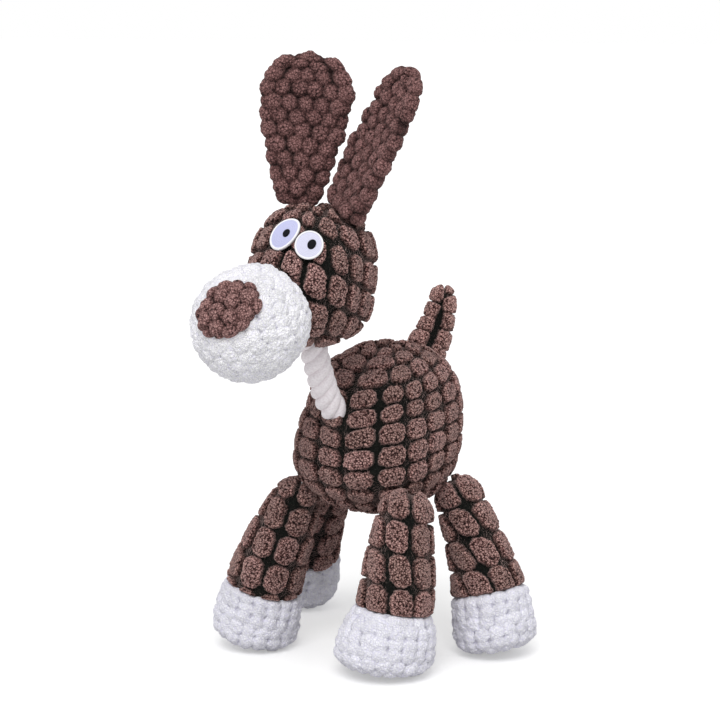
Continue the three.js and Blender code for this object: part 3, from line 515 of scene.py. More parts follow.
def leg_line(leg, share):
    """(points, directions) on a leg's middle line, a parabola that leaves the hip along 1.3 times the
    splay and reaches the sole along 0.7 times it."""
    total = leg["hem"] + paw_height
    turn = np.radians(leg["towards"])
    level = np.array([np.sin(turn), -np.cos(turn), 0])

    def way(angle):
        return level * np.sin(np.radians(angle)) - np.array([0, 0, np.cos(np.radians(angle))])

    bend = way(leg["splay"] * (1 + leg_straighten)) * total / 2
    tip = bend + way(leg["splay"] * (1 - leg_straighten)) * total / 2
    share = np.asarray(share, float)[..., None]
    points = 2 * share * (1 - share) * bend + share ** 2 * tip
    return points, unit((1 - share) * bend + share * (tip - bend))


def aside(leg, share):
    """How far a leg is moved sideways at a share of its way down: the bow times the squared half sine,
    plus the sway times the share."""
    moved = leg["bow"] * np.sin(np.pi * share) ** 2 + leg["sway"] * share
    return moved[..., None] * picture_side


def laid_round(middle, up, past, radius, turn):
    """Points at a radius and turn round a bent middle line: middle and up are the line's places and
    directions, and past is how far on from its place along its direction a point lies."""
    side = unit(np.cross(np.array([0, 1, 0]), up))
    front = np.cross(up, side)
    place = middle + up * past[..., None]
    return place + side * (radius * np.cos(turn))[..., None] + front * (radius * np.sin(turn))[..., None]


def on_leg(leg, hip, radius, height, turn):
    """Points of a leg from their radius, height down the leg and turn round it: the straight leg is laid
    along its middle line, and past the line's ends it runs on straight."""
    total = leg["hem"] + paw_height
    share = np.clip(height / total, 0, 1)
    return hip + laid_round(*leg_line(leg, share), height - share * total, radius, turn) + aside(leg, share)


def leg_radius(height, leg):
    """Radius of a leg's tube: a straight taper from hip to hem, plus a half sine of swell and a flare
    that grows with the cube of the way down."""
    share = np.clip(height / leg["hem"], 0, 1)
    swell = leg["flare"] * share ** 3 + leg["swell"] * np.sin(share * np.pi)
    return (hip_radius + (leg_hem_radius - hip_radius) * share + swell) * leg["fullness"]


def revolved(radius, height, turn):
    """The radius and height of each ring and the turn of each column, as three grids of rings."""
    return np.broadcast_arrays(radius[:, None], height[:, None], turn[None])


def leg_tube(leg, hip, inset):
    """A leg's tube from the pole of its round hip, down the side, and in over the hem to the middle."""
    bow = np.linspace(0, np.pi / 2, leg_rings["dome"])
    hip_ball = hip_radius * leg["fullness"] - inset
    down = np.linspace(0, leg["hem"], leg_rings["side"] + 1)[1:]
    tuck = np.linspace(1, 0, leg_rings["cap"] + 1)[1:]
    hem_radius = leg_radius(leg["hem"], leg) - inset
    radius = np.concatenate([hip_ball * np.sin(bow), leg_radius(down, leg) - inset, hem_radius * tuck])
    height = np.concatenate([-hip_ball * np.cos(bow), down, np.full(len(tuck), leg["hem"])])
    return on_leg(leg, hip, *revolved(radius, height, leg_seam_turn + full_turn(ring_points)))


limb_balls = []  # (middle, radius) of what the torso has to leave room for
for seed, (place, leg) in enumerate(legs.items()):
    hip = hinges[f"{place}_swing"]
    base = leg_tube(leg, hip, backing_depth + 0.2)
    share, length, rise = around(base)
    up_from_hem = rise[leg_rings["dome"] + leg_rings["side"] - 1, 0] - rise
    round_seam = np.minimum(share, 1 - share) * length
    warp = 0.8 * drift(base, 22, 40 + seed)
    columns_at = (share - 0.5) * length + leg["offset"] + leg["drawn"] * up_from_hem + warp
    pads, tuft, rim = brick_pads(
        lambda row: (columns_at / leg_pad_across, leg_pad_across),
        (np.maximum(up_from_hem, -4) + leg["phase"] + 0.6 * warp) / leg_pad_along, leg_pad_along,
        leg_gaps, leg_chamfer,
        100 + seed, np.minimum(round_seam, up_from_hem) - 0.3, fringe(base, 50 + seed),
    )
    tucked = np.exp(-(np.clip(up_from_hem, 0, None) / hem_width) ** 2)
    tucked = tucked + 0.5 * np.exp(-(round_seam / leg_seam_width) ** 2)
    lift = np.where(up_from_hem < 0, 0, brick_pile(base, pads, 70 + seed) - leg_tuck * tucked)
    cover = pile_skin(
        f"{place}_leg_plush", lifted(base, lift), {"pile": pads, "tuft": tuft, "rim": rim}, brick_plush)
    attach(cover, f"{place}_leg")
    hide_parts(f"{place}_leg_cover")

    # Balls along the top of the leg at each swing, which the torso's plush gives way to.
    heights = np.linspace(0, leg_top, leg_top_balls)
    middles = on_leg(leg, 0 * hip, 0 * heights, heights, 0 * heights)
    for angle in np.radians(leg["swing"]):
        swung = hip + middles @ turning(0, -angle).T
        limb_balls += zip(swung, leg_radius(heights, leg) - leg_squeeze)


# Paws. Cups of white bobble-pile plush, sewn to the hems of the legs and pressed flat by the floor.
# The pile is rows of round tufts, and each row is set over by half a tuft from the next.

paw_radius, paw_rim = 21.9, 7.4
paw_depth = 3.0  # of the tufts' roots under the outline
hem_wider, hem_below = 0.2, 0.4  # how much wider than the hem a paw starts, and how far below it
bobble_height = 2.2
paw_tuft, paw_row = 6.4, 4.9


def bobbles(share, length, rise, counts, row_pitch, seed, warp):
    """(height, tuft), each from 0 to 1, of rows of egg-shaped tufts that stand in each other's gaps. A
    tuft's height is the square root of 1 less the squared distance from its middle over its reach, and
    a point takes the highest of the tufts near it. Each is shifted and raised by its own luck."""
    height, own = np.zeros(rise.shape), np.zeros(rise.shape)
    level = rise + warp
    own_row = np.floor(level / row_pitch).astype(np.int64)
    for row_step in (-1, 0, 1):
        row = np.clip(own_row + row_step, 0, len(counts) - 1)
        count = counts[row]
        width = length / count
        place = share * count + 0.5 * (row % 2)
        own_column = np.floor(place).astype(np.int64)
        for column_step in (-1, 0, 1):
            column = own_column + column_step
            luck = [scatter(row, column % count, n, seed) for n in range(4)]
            away = (place - column - 0.5) * width + 1.3 * (luck[0] - 0.5)
            along = level - (row + 0.5) * row_pitch + 1.1 * (luck[1] - 0.5)
            away, along = away / (0.58 * np.maximum(width, 3)), along / (0.7 * row_pitch)
            top = np.sqrt(np.clip(1 - away ** 2 - along ** 2, 0, 1)) * (0.82 + 0.24 * luck[2])
            wins = top > height
            height = np.where(wins, top, height)
            own = np.where(wins, luck[3], own)
    return height, own


def bobbled(base, tuft, row, seed, warp):
    """(height, tuft, rise) of bobbles all over a grid of rings, from the width of a tuft and the pitch of
    the rows: as many whole tufts go round a row as the ring at its middle is long."""
    share, length, rise = around(base)
    middles = (np.arange(int(rise[-1, 0] / row) + 2) + 0.5) * row
    counts = np.round(np.interp(middles, rise[:, 0], length[:, 0]) / tuft)
    counts = np.maximum(1, counts).astype(np.int64)
    return *bobbles(share, length, rise, counts, row, seed, warp), rise


def bobble_plush_material(name, light, middle, dark, crease_shade, cell, sheen_tint, sheen):
    """Bobble pile in one colour: light at the curl tips, with painted shade that darkens it between them
    and where tufts meet, and a slow change of tone at random."""
    material, nodes, links, shader = cloth_shader(name, 0.92, sheen, sheen_tint)
    tips, slow = pile_grain(nodes, links, cell)
    # The dark end of the ramp, between curl tips, is painted shade.
    pile = ramp(nodes, links, tips, [(0.0, light), (0.45, middle), (0.85, dark)])
    pile = toned(nodes, links, pile, read(nodes, "tuft"), [(0.0, (0.93,) * 3), (1.0, (1.05,) * 3)])
    pile = toned(nodes, links, pile, slow, [(0.3, (0.93,) * 3), (0.7, (1.04,) * 3)])
    # Painted shade where tufts meet, darkening the low pile.
    links.new(toned(nodes, links, pile, read(nodes, "pile"), crease_shade), shader.inputs["Base Color"])
    curled_bump(nodes, links, shader, tips, 0.9)
    return material


def bobble_pile(base, pile, height, seed):
    """Height of bobble pile over its backing: the tufts, with curls of two sizes on them."""
    return height * pile + 0.5 * curls(base, 1.7, seed) + 0.22 * curls(base, 0.9, seed + 5)


# The paws' copy of the white bobble plush is painted darker than the muzzle's, as painted shade; its darkest
# colour and the shares that follow are painted shade between curls and where tufts meet.
bobble_paw_shaded = bobble_plush_material(
    "bobble_plush_paw_shaded", srgb(242, 242, 247), srgb(238, 237, 245), srgb(226, 224, 241),
    ((0.1, (0.8, 0.79, 0.83)), (0.34, (0.95, 0.95, 0.97)), (0.52, (1, 1, 1))),
    0.0011, srgb(245, 245, 255), 0.4)

for seed, (place, leg) in enumerate(legs.items()):
    hip = hinges[f"{place}_swing"]
    # Profile from the middle of the hem out to its edge, down the side, round the rim, in under the sole.
    in_hem = np.linspace(0, 1, 6)[:-1]
    side_share = np.linspace(0, 1, 30)[:-1]
    rim_turn = np.linspace(0, np.pi / 2, 30)
    under = np.linspace(1, 0, 24)[1:]
    hem_edge = leg_hem_radius + leg["flare"] - paw_depth + hem_wider
    wide = paw_radius * leg["paw"] - paw_depth
    rim_radius = paw_rim - paw_depth * 0.5
    radius = np.concatenate([
        in_hem * hem_edge,
        hem_edge + (wide - hem_edge) * np.sin(side_share * np.pi / 2) ** 0.75,
        wide - rim_radius + rim_radius * np.cos(rim_turn),
        (wide - rim_radius) * under,
    ]) * leg["fullness"]
    rim_top = paw_height - paw_depth - rim_radius
    height = leg["hem"] + hem_below + np.concatenate([
        0 * in_hem,
        rim_top * side_share,
        rim_top + rim_radius * np.sin(rim_turn),
        rim_top + rim_radius + 0 * under,
    ])
    base = on_leg(leg, hip, *revolved(radius, height, leg_seam_turn + full_turn(ring_points)))
    pile, tuft, rise = bobbled(base, paw_tuft, paw_row, 200 + seed, drift(base, 16, 210 + seed))
    from_hem = rise - rise[len(in_hem), 0]
    lift = bobble_pile(base, pile, bobble_height, 220 + seed) * np.clip((from_hem + 1.2) / 2.2, 0, 1)
    placed = lifted(base, lift)
    placed[..., 2] = np.maximum(placed[..., 2], 0.0)
    paw = pile_skin(f"{place}_paw_plush", placed, {"pile": pile, "tuft": tuft}, bobble_paw_shaded)
    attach(paw, f"{place}_leg")
    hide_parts(f"{place}_paw_cover")


# Tail. A short tube of the brick-pile plush with a round tip, stuffed, and sewn into the back seam. It
# stands up, bows a little backwards and to its left, and its seam gapes open between two columns of pads.

tail_radius, tail_tip_radius, tail_length, tail_sag, tail_aside = 9.9, 6.2, 31.4, 4.2, 1.2
tail_back, tail_side = np.radians([18.0, 7.0])
tail_turned = turning(0, -tail_back) @ turning(1, tail_side)
tail_seam_turn = np.radians(-54)
tail_pad_along, tail_pad_across = 8.3, 12.5
tail_gaps, tail_chamfer = (0.4, 0.3), 1.7
tail_gape = 1.4  # how far each edge of the gaping seam stands back, up to 9 mm below the tip
tail_room = 0.6  # that the torso leaves round the tail


def on_tail(radius, height, turn):
    """Points of the tail from radius, height and turn: the straight tail is laid along a shallow
    parabola, leaned back and to the side, and set on its hinge."""
    share = np.clip(height / tail_length, 0, 1)[..., None]
    bow, run = np.array([tail_aside, tail_sag, 0]), np.array([0, 0, tail_length])
    middle = 2 * share * (1 - share) * bow + share * run
    up = unit(2 * (1 - 2 * share) * bow + run)
    place = laid_round(middle, up, height - share[..., 0] * tail_length, radius, turn)
    return hinges["tail_wag"] + place @ tail_turned.T


# Profile from the pole of the round root, up the side and over the tip.
root_bow, tip_bow = np.linspace(0, np.pi / 2, 30), np.linspace(0, np.pi / 2, 28)[1:]
straight = np.linspace(0, 1, 82)[1:]
root, tip = tail_radius - backing_depth, tail_tip_radius - backing_depth
tip_middle = tail_length - tail_tip_radius
radius = np.concatenate([root * np.sin(root_bow), root + (tip - root) * straight, tip * np.cos(tip_bow)])
height = np.concatenate([
    -root * np.cos(root_bow), tip_middle * straight, tip_middle + tip * np.sin(tip_bow)])
base = on_tail(*revolved(radius, height, tail_seam_turn + full_turn(150)))
share, length, rise = around(base)
gaping = np.minimum(share, 1 - share) * length - tail_gape * np.clip((rise[-1, 0] - 9 - rise) / 6, 0, 1)
seam = np.minimum(gaping, np.abs(share - 0.5) * length)
# The two halves have columns of their own, numbered 40 apart, and their rows stand 4.2 mm apart.
on_right = share < 0.5
columns_at = np.where(on_right, share, 1 - share) * length / tail_pad_across + 40 * on_right
pads, tuft, rim = brick_pads(
    lambda row: (columns_at, tail_pad_across),
    (rise + 6.9 - 4.2 * on_right) / tail_pad_along, tail_pad_along, tail_gaps, tail_chamfer,
    303, seam, fringe(base, 301))
# The tail's pads are painted lighter as painted light: the painted sheen of a rim covers all of each pad,
# the painted shade down its wall is weaker, and its own tone is from the lighter half.
tail = pile_skin("tail_plush", lifted(base, brick_pile(base, pads, 304)),
                 {"pile": np.sqrt(pads), "tuft": 0.5 + 0.5 * tuft, "rim": 0 * rim}, brick_plush)
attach(tail, "tail")
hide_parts("tail_cover")
# Balls along the tail at each wag, which the torso's plush gives way to.
heights = np.linspace(-1, 24, 8)
middles = on_tail(0 * heights, heights, 0 * heights) - hinges["tail_wag"]
reach = tail_radius + (tail_tip_radius - tail_radius) * np.clip(heights / tail_length, 0, 1)
for angle in np.radians((-20, -10, 0, 10, 20)):
    limb_balls += zip(hinges["tail_wag"] + middles @ turning(1, angle).T, reach + tail_room)


# Neck. One thick soft-laid cotton rope of three strands, each spun from many yarns. It leaves the chest
# seam, bows forward and goes up into the underside of the head, and is knotted inside at both ends.

rope_radius, rope_lay, strand_count = 6.3, 18.6, 3
strand_radius, groove_radius = 3.15, 3.2
yarn_ridges, yarn_lay, yarn_height = 14, 16.0, 0.1  # the lay is the length of their turn
fuzz = 0.12
knot_radius = 8.6
neck_base = hinges["neck_nod"]
rope_points = neck_base + np.array([
    [0, 19, -17], [-2.3, -1.5, 0], [-1.9, -10.0, 14.25], [-1.6, -16.1, 28.5], [-2.217, -22.218, 42.131],
])


def centripetal(points, count):
    """Points along a smooth curve through given ones, evenly spaced: between two of them, a cubic that
    takes their spacings' square roots as its times, and at the ends the line is carried on."""
    ends = [2 * points[0] - points[1], *points, 2 * points[-1] - points[-2]]
    run = []
    for p0, p1, p2, p3 in zip(ends, ends[1:], ends[2:], ends[3:]):
        d0, d1, d2 = (max(np.linalg.norm(b - a) ** 0.5, 1e-4) for a, b in ((p0, p1), (p1, p2), (p2, p3)))
        leave = ((p1 - p0) / d0 - (p2 - p0) / (d0 + d1) + (p2 - p1) / d1) * d1
        reach = ((p2 - p1) / d1 - (p3 - p1) / (d1 + d2) + (p3 - p2) / d2) * d1
        t = np.linspace(0, 1, 60, endpoint=False)[:, None]
        run.append(p1 + leave * t + (-3 * p1 + 3 * p2 - 2 * leave - reach) * t ** 2
                   + (2 * p1 - 2 * p2 + leave + reach) * t ** 3)
    run = np.concatenate([*run, [points[-1]]])
    gone = np.concatenate([[0], np.cumsum(np.linalg.norm(np.diff(run, axis=0), axis=1))])
    even = np.linspace(0, gone[-1], count)
    return np.stack([np.interp(even, gone, run[:, a]) for a in range(3)], -1), even


def strand_mesh(middle, forward, gone, phase):
    """(tube, yarn, raised) of one strand: its middle runs round the rope's middle as a screw, and its own
    surface is a tube with the fine ridges of its yarns, which turn the other way. yarn is 1 on a ridge,
    and raised goes from 0 in the grooves between strands to 1 on their crowns."""
    side = unit(np.cross(forward, np.array([1.0, 0, 0])))
    cross = np.cross(forward, side)
    angle = 2 * np.pi * gone / rope_lay + phase
    out = side * np.cos(angle)[:, None] + cross * np.sin(angle)[:, None]
    centre = middle + out * (rope_radius - strand_radius)
    along = unit(np.gradient(centre, axis=0))
    out = unit(out - along * (out * along).sum(-1, keepdims=True))
    over = np.cross(along, out)
    turn = full_turn(72)[None]
    yarn = np.abs(np.sin(yarn_ridges / 2 * (turn - 2 * np.pi * gone[:, None] / yarn_lay)))
    radius = strand_radius - yarn_height + yarn_height * yarn ** 0.6
    radius[[0, -1]] = 0  # the strand's ends close to a point
    tube = centre[:, None] + out[:, None] * (radius * np.cos(turn))[..., None]
    tube = tube + over[:, None] * (radius * np.sin(turn))[..., None]
    tube += fuzz * outward(tube) * drift(tube, 0.8, 401)[..., None]
    to_axis = np.linalg.norm(tube - middle[:, None], axis=-1)
    return tube, yarn, np.clip((to_axis - groove_radius) / (rope_radius - groove_radius), 0, 1)


def rope_material():
    """Undyed cotton: near white, greyed warmly in the grooves between strands and a little between yarns as
    painted shade, and short loose fibres.
    """
    material, nodes, links, shader = cloth_shader("cotton_rope", 0.9, 0.3, (1, 1, 1))
    fibre = noise(nodes, links, 1100, 5).outputs["Fac"]
    tone = ramp(nodes, links, fibre, [(0.3, srgb(232, 224, 228)), (0.7, srgb(250, 245, 248))])
    # Painted shade between the yarns' ridges.
    tone = toned(nodes, links, tone, read(nodes, "yarn"), [(0.0, (0.9, 0.88, 0.89)), (0.4, (1, 1, 1))])
    # Painted shade, warm grey, in the grooves between strands.
    tone = toned(nodes, links, tone, read(nodes, "raised"), [
        (0.1, (0.6, 0.56, 0.57)), (0.55, (0.9, 0.88, 0.88)), (0.9, (1, 1, 1))])
    links.new(tone, shader.inputs["Base Color"])
    bumped(nodes, links, shader, fibre, 0.0003, 0.7)
    return material


cotton_rope = rope_material()
rope_middle, rope_gone = centripetal(rope_points, 340)
rope_forward = unit(np.gradient(rope_middle, axis=0))
# The rope bends where it leaves the chest.
for n, phase in enumerate(full_turn(strand_count) + 1.0):
    tube, yarn, raised = strand_mesh(rope_middle, rope_forward, rope_gone, phase)
    strand = pile_skin(f"neck_strand_{n + 1}", tube, {"yarn": yarn, "raised": raised}, cotton_rope)
    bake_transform(strand)
    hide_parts("neck_rope")


def globe(rows, across):
    """Unit directions on a grid of rings from the lower pole to the upper one. The first column looks
    along -Y, and the columns go round by +X."""
    return facing(full_turn(across)[None], np.linspace(-np.pi / 2, np.pi / 2, rows)[:, None])


# Each knot is a ball with three crowns of rope wound round it, and fine ridges of yarn.
for name, middle, body in (("chest_knot", rope_points[0], "torso"), ("head_knot", rope_points[-1], "neck")):
    way = globe(60, 96)
    up, turn = np.arcsin(way[..., 2]), np.arctan2(way[..., 0], -way[..., 1])
    ridges = np.abs(np.sin(1.5 * turn + 3.0 * up)) ** 0.6
    yarn = np.abs(np.sin(12 * turn - 9 * up))
    lump = middle + way * (knot_radius - 1.5 + 1.4 * ridges + 0.2 * yarn)[..., None]
    knot = pile_skin(name, lump, {"yarn": yarn, "raised": ridges}, cotton_rope)
    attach(knot, body)

rope_balls = []  # (middle, radius) of what the chest has to leave room for, at three nods
rope_room = 0.4
for angle in np.radians((-8, 2, 12)):
    for middle in rope_middle[120:226:9]:
        rope_balls.append((neck_base + turning(0, angle) @ (middle - neck_base), rope_radius + rope_room))


# Torso. Two half panels of the brick-pile plush, sewn along the dog's middle plane and stuffed tight. The
# rows of pads go round it level and rise a little towards the tail, and the cloth gives way at the limbs.

torso_middle = neck_base + np.array([0, 35.364, -15.471])
torso_half, torso_squareness, torso_lean = np.array([35.0, 38.0, 39.0]), 2.5, np.radians(4)
shoulder_drop = 5.4
mouth_depth = 9.0  # how far in the rope's mouth goes
# The pads stand in level rows round the torso. A row is a step of degrees up, the lowest one named, and it
# climbs towards the tail. Turns go round from the back seam, and the keel seam stands a little to the left.
# counts are the columns of each listed row and of those above it. Columns beside the keel on the dog's left
# are wider by the shift, and those after them narrower. Rows and columns wander, over cells of a size.
torso_pads = {
    "keel": 8.0, "climb": 24.0, "lowest": -52.0, "step": 13.85, "gaps": (1.5, 0.8), "chamfer": 2.3,
    "rows": [-9, -3, -2, -1, 0, 7, 8, 9, 10], "counts": [4, 6, 10, 14, 16, 12, 8, 6, 4], "shift": 4.5,
    "wander": 0.9, "wander_cell": 24, "row_wander": 0.05,
}
seam_tuck, seam_width = 0.45, 1.8  # how deep and how wide a seam draws the pile in


def swollen(way, half, squareness, lean=0.0):
    """Points of a swollen box: unit directions divided by their norm of the given power, times the half
    sizes, and sheared backwards by the lean."""
    point = way * (np.abs(way) ** squareness).sum(-1, keepdims=True) ** (-1 / squareness) * half
    point[..., 1] += point[..., 2] * np.tan(lean)
    return point


def giving_way(points, middle, balls, deepest=np.inf):
    """Points drawn towards the middle until they clear every ball: on each ray from the middle, the way
    in to the nearest ball is as far as a point may lie, but it moves by no more than the deepest."""
    ray = unit(points - middle)
    reach = np.linalg.norm(points - middle, axis=-1)
    least = reach.copy()
    for centre, radius in balls:
        arm = centre - middle
        ahead = ray @ arm
        miss = arm @ arm - ahead ** 2
        hit = (miss < radius ** 2) & (ahead > 0)
        entry = ahead - np.sqrt(np.clip(radius ** 2 - miss, 0, None))
        least = np.where(hit & (entry < least), entry, least)
    return middle + ray * np.maximum(least, reach - deepest)[..., None]


def quilt(half, squareness, pads, lean, rows, across):
    """(points, turn, level) of a swollen box on a grid that its pads line up with: at a turn and level in
    degrees, the azimuth is the turn plus the keel's shift, full in front and none behind, and the
    elevation is the level plus the climb, half down in front and half up behind, by the level's cosine."""
    turn = np.linspace(-180, 180, across, endpoint=False)[None]
    level = np.linspace(-90, 90, rows)[:, None]
    azimuth = np.radians(turn + pads["keel"] * (1 + np.cos(np.radians(turn))) / 2) + 0 * level
    risen = np.radians(level + pads["climb"] * (np.abs(turn) / 180 - 0.5) * np.cos(np.radians(level)))
    return swollen(facing(azimuth, risen), half, squareness, lean), turn + 0 * level, level + 0 * turn


def spread(points):
    """(per degree of turn, per degree of level): millimetres between neighbours on a quilt's grid, over
    the degrees between them."""
    rows, across = points.shape[:2]
    beside = np.linalg.norm(np.roll(points, -1, 1) - np.roll(points, 1, 1), axis=-1) / 2 / (360 / across)
    above = np.linalg.norm(np.gradient(points, axis=0), axis=-1) / (180 / (rows - 1))
    return np.maximum(beside, 0.01), np.maximum(above, 0.01)


def quilted(base, turn, level, pads, seed):
    """(lift, features) of the brick pile over a quilt's grid of points, with a seam in front and behind.
    The number of columns in a row is the one listed for the nearest row below it."""
    per_turn, per_level = spread(base)
    warp = pads["wander"] * drift(base, pads["wander_cell"], seed + 1)
    from_seam = np.minimum(np.abs(turn), 180 - np.abs(turn)) * per_turn
    shifted = turn - pads["shift"] * np.sin(np.pi * np.clip(turn / 67.5, 0, 1))

    def columns(row):
        listed = np.searchsorted(pads["rows"], row, side="right") - 1
        count = np.array(pads["counts"])[np.clip(listed, 0, len(pads["counts"]) - 1)]
        width = per_turn * 360 / count
        return (shifted + 180) / 360 * count + warp / width, width

    rows = (level - pads["lowest"]) / pads["step"] + pads["row_wander"] * warp
    pile, tuft, rim = brick_pads(columns, rows, per_level * pads["step"], pads["gaps"], pads["chamfer"],
                                 seed + 4, from_seam - 0.4, fringe(base, seed + 2))
    lift = brick_pile(base, pile, seed + 5) - seam_tuck * np.exp(-(from_seam / seam_width) ** 2)
    return lift, {"pile": pile, "tuft": tuft, "rim": rim}


def chest_shaped(points):
    """The stuffed torso's points, measured from its middle, settled as cloth does: the shoulders sink in
    front of the tail, and the chest draws in above and swells out below, all by smooth bumps that fade
    towards the back and round the rope's mouth."""
    x, y, z = (points[..., k] for k in range(3))
    front = np.clip((20 - y) / 46, 0, 1)
    front = front * front * (3 - 2 * front)
    high = np.clip((z - 4) / 32, 0, 1)
    from_mouth = np.sqrt(x ** 2 + (y + 37) ** 2 + (z - 15) ** 2)
    clear = 1 - np.exp(-(from_mouth / 13) ** 2)
    drawn = 3.6 * np.exp(-((z - 13) / 11) ** 2) - 2.6 * np.exp(-((z + 19) / 12) ** 2)
    level_reach = np.maximum(np.hypot(x, y), 1e-6)
    inwards = np.stack([-x / level_reach, -y / level_reach, 0 * z], -1)
    collar = 2.8 * np.exp(-((x - 4) ** 2 + (y + 38) ** 2 + (z - 6) ** 2) / 8.5 ** 2)
    by = (drawn * front * clear - collar) * np.clip(level_reach / 20, 0, 1)
    moved = points + inwards * by[..., None]
    moved[..., 2] -= shoulder_drop * front * high
    return moved


base, turn, level = quilt(torso_half - backing_depth, torso_squareness, torso_pads, torso_lean, 330, 600)
base = torso_middle + chest_shaped(base)
lift, features = quilted(base, turn, level, torso_pads, 500)
placed = giving_way(lifted(base, lift), torso_middle, limb_balls)
placed = giving_way(placed, torso_middle, rope_balls, deepest=mouth_depth)
torso = pile_skin("torso_plush", placed, features, brick_plush)
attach(torso, "torso")
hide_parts("torso_cover")


# Ears. Each is a spoon of brown bobble-pile plush, a front and a back panel sewn edge to edge with a thin
# pad between them, cupped forward and gathered where it is sewn into the crown. They stand up stiffly.

head_middle = torso_middle + np.array([0.3, -53.764, 75.471])
head_turned = turning(1, np.radians(8))
head_half, head_squareness = np.array([26.8, 26.5, 31.5]), 2.4
ear_half_width, ear_half_thickness, ear_tip_thickness, ear_cup = 20.8, 4.0, 2.6, 5.0
ear_depth = 2.7  # of the tufts' roots under the outline
ear_root = 2.6  # length of its round root below the hinge
gather_height = 12.0  # over which the gathers and the thick root fade
ear_room = 1.2  # that the head leaves round an ear
ear_heights = np.array([0, 0.13, 0.3, 0.47, 0.63, 0.74, 0.85, 0.93, 0.975, 1])
ears = {
    "left": {
        "lean": 19.6, "back": 6, "turn": -31, "gather": 1.2, "seed": 600, "length": 63.8, "bow": 1.2,
        "root": 1.8, "widths": (0.7, 0.78, 0.84, 0.85, 0.82, 0.79, 0.72, 0.61, 0.43, 0.14)},
    "right": {
        "lean": -7.6, "back": 9, "turn": 32, "gather": 1.4, "seed": 620, "length": 60.4, "bow": 0.0,
        "root": 0.0, "widths": (0.45, 0.57, 0.74, 0.86, 0.96, 0.98, 0.9, 0.74, 0.5, 0.14)},
}
ear_tuft, ear_row, ear_bobble_height = 7.5, 6.1, 3.1
# Its darkest colour and the shares that follow are painted shade between curls and where tufts meet.
bobble_brown = bobble_plush_material(
    "bobble_plush_brown", srgb(166, 126, 123), srgb(123, 87, 85), srgb(36, 21, 21),
    ((0.28, (0.12, 0.1, 0.1)), (0.55, (0.46, 0.42, 0.42)), (0.82, (1, 1, 1))),
    0.0011, srgb(214, 176, 172), 0.25)


def ear_axes(ear):
    """Columns are the ear's own side, back and up directions: turn about Z, back about X, lean about Y."""
    back, lean, turn = np.radians([-ear["back"], ear["lean"], ear["turn"]])
    return head_turned @ turning(1, lean) @ turning(0, back) @ turning(2, turn)


def through(values, count):
    """A smooth curve through values set evenly apart: between two, the cubic whose slopes are half the
    difference of the neighbours."""
    t = np.linspace(0, len(values) - 1, count)
    low = np.minimum(t.astype(int), len(values) - 2)
    part = t - low
    a, b, c, d = (values[np.clip(low + k, 0, len(values) - 1)] for k in (-1, 0, 1, 2))
    return b + 0.5 * part * (c - a + part * (2 * a - 5 * b + 4 * c - d + part * (3 * (b - c) + d - a)))


ear_balls = []  # (middle, radius) of what the head has to leave room for, at three flops
for side_name, ear in ears.items():
    axes = ear_axes(ear)
    hinge = hinges[f"ear_{side_name}_flop"]
    ear_length = ear["length"]
    high = through(ear_heights, 150) * ear_length
    wide = through(np.array(ear["widths"]), 150) * ear_half_width
    thinned = (ear_tip_thickness - ear_half_thickness) * (high / ear_length) ** 3
    thick = np.maximum(ear_half_thickness + thinned - ear_depth, 0.5)
    thick = thick + ear["root"] * np.exp(-high / gather_height)
    high = high * (1 - (ear_depth - 1.2) / ear_length)
    wide = np.maximum(wide - ear_depth + ear["gather"] * np.exp(-high / gather_height), 0.1)
    root_turn = np.linspace(0, np.pi / 2, 18)[:-1]
    z = np.concatenate([-ear_root * np.cos(root_turn), high, [high[-1]]])[:, None]
    half_wide = np.concatenate([wide[0] * np.sin(root_turn) ** 0.5, wide, [0]])[:, None]
    half_thick = np.concatenate([thick[0] * np.sin(root_turn), thick, [0]])[:, None]
    turn = full_turn(264)[None] - np.pi / 2
    x = half_wide * np.cos(turn)
    curl = ear_cup * (x / ear_half_width) ** 2 * np.clip(z / (ear_length / 3), 0, 1)
    y = half_thick * np.sign(np.sin(turn)) * np.abs(np.sin(turn)) ** 0.8 - curl
    base = hinge + np.stack([x, y, z + 0 * x], -1) @ axes.T
    bulge = ear["bow"] * np.sin(np.pi * np.clip(z / ear_length, 0, 1)) + 0 * x
    base = base + bulge[..., None] * picture_side
    pile, tuft, rise = bobbled(base, ear_tuft, ear_row, ear["seed"], drift(base, 18, ear["seed"] + 1))
    # Tufts fill the tip, so that the backing doesn't show there.
    pile = np.maximum(pile, 0.9 * np.exp(-((rise[-1, 0] - rise) / 3.5) ** 2))
    placed = lifted(base, bobble_pile(base, pile, ear_bobble_height, ear["seed"] + 2))
    spoon = pile_skin(f"ear_{side_name}_plush", placed, {"pile": pile, "tuft": tuft}, bobble_brown)
    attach(spoon, f"{side_name}_ear")
    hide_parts(f"ear_{side_name}_front_panel", f"ear_{side_name}_back_panel")
    for angle in np.radians((-4, 20, 50)):
        for up in (-2, 2, 6, 10, 15):
            for across in (-9, -4.5, 0, 4.5, 9):
                spot = turning(0, -angle) @ np.array([across, 0, up])
                ear_balls.append((hinge + axes @ spot, ear_half_thickness + ear_room))


# Head. The brick-pile plush with its pads upright, in two halves that meet on the dog's middle plane,
# stuffed, and open in front where the muzzle is sewn on. Its rows drop towards the back.

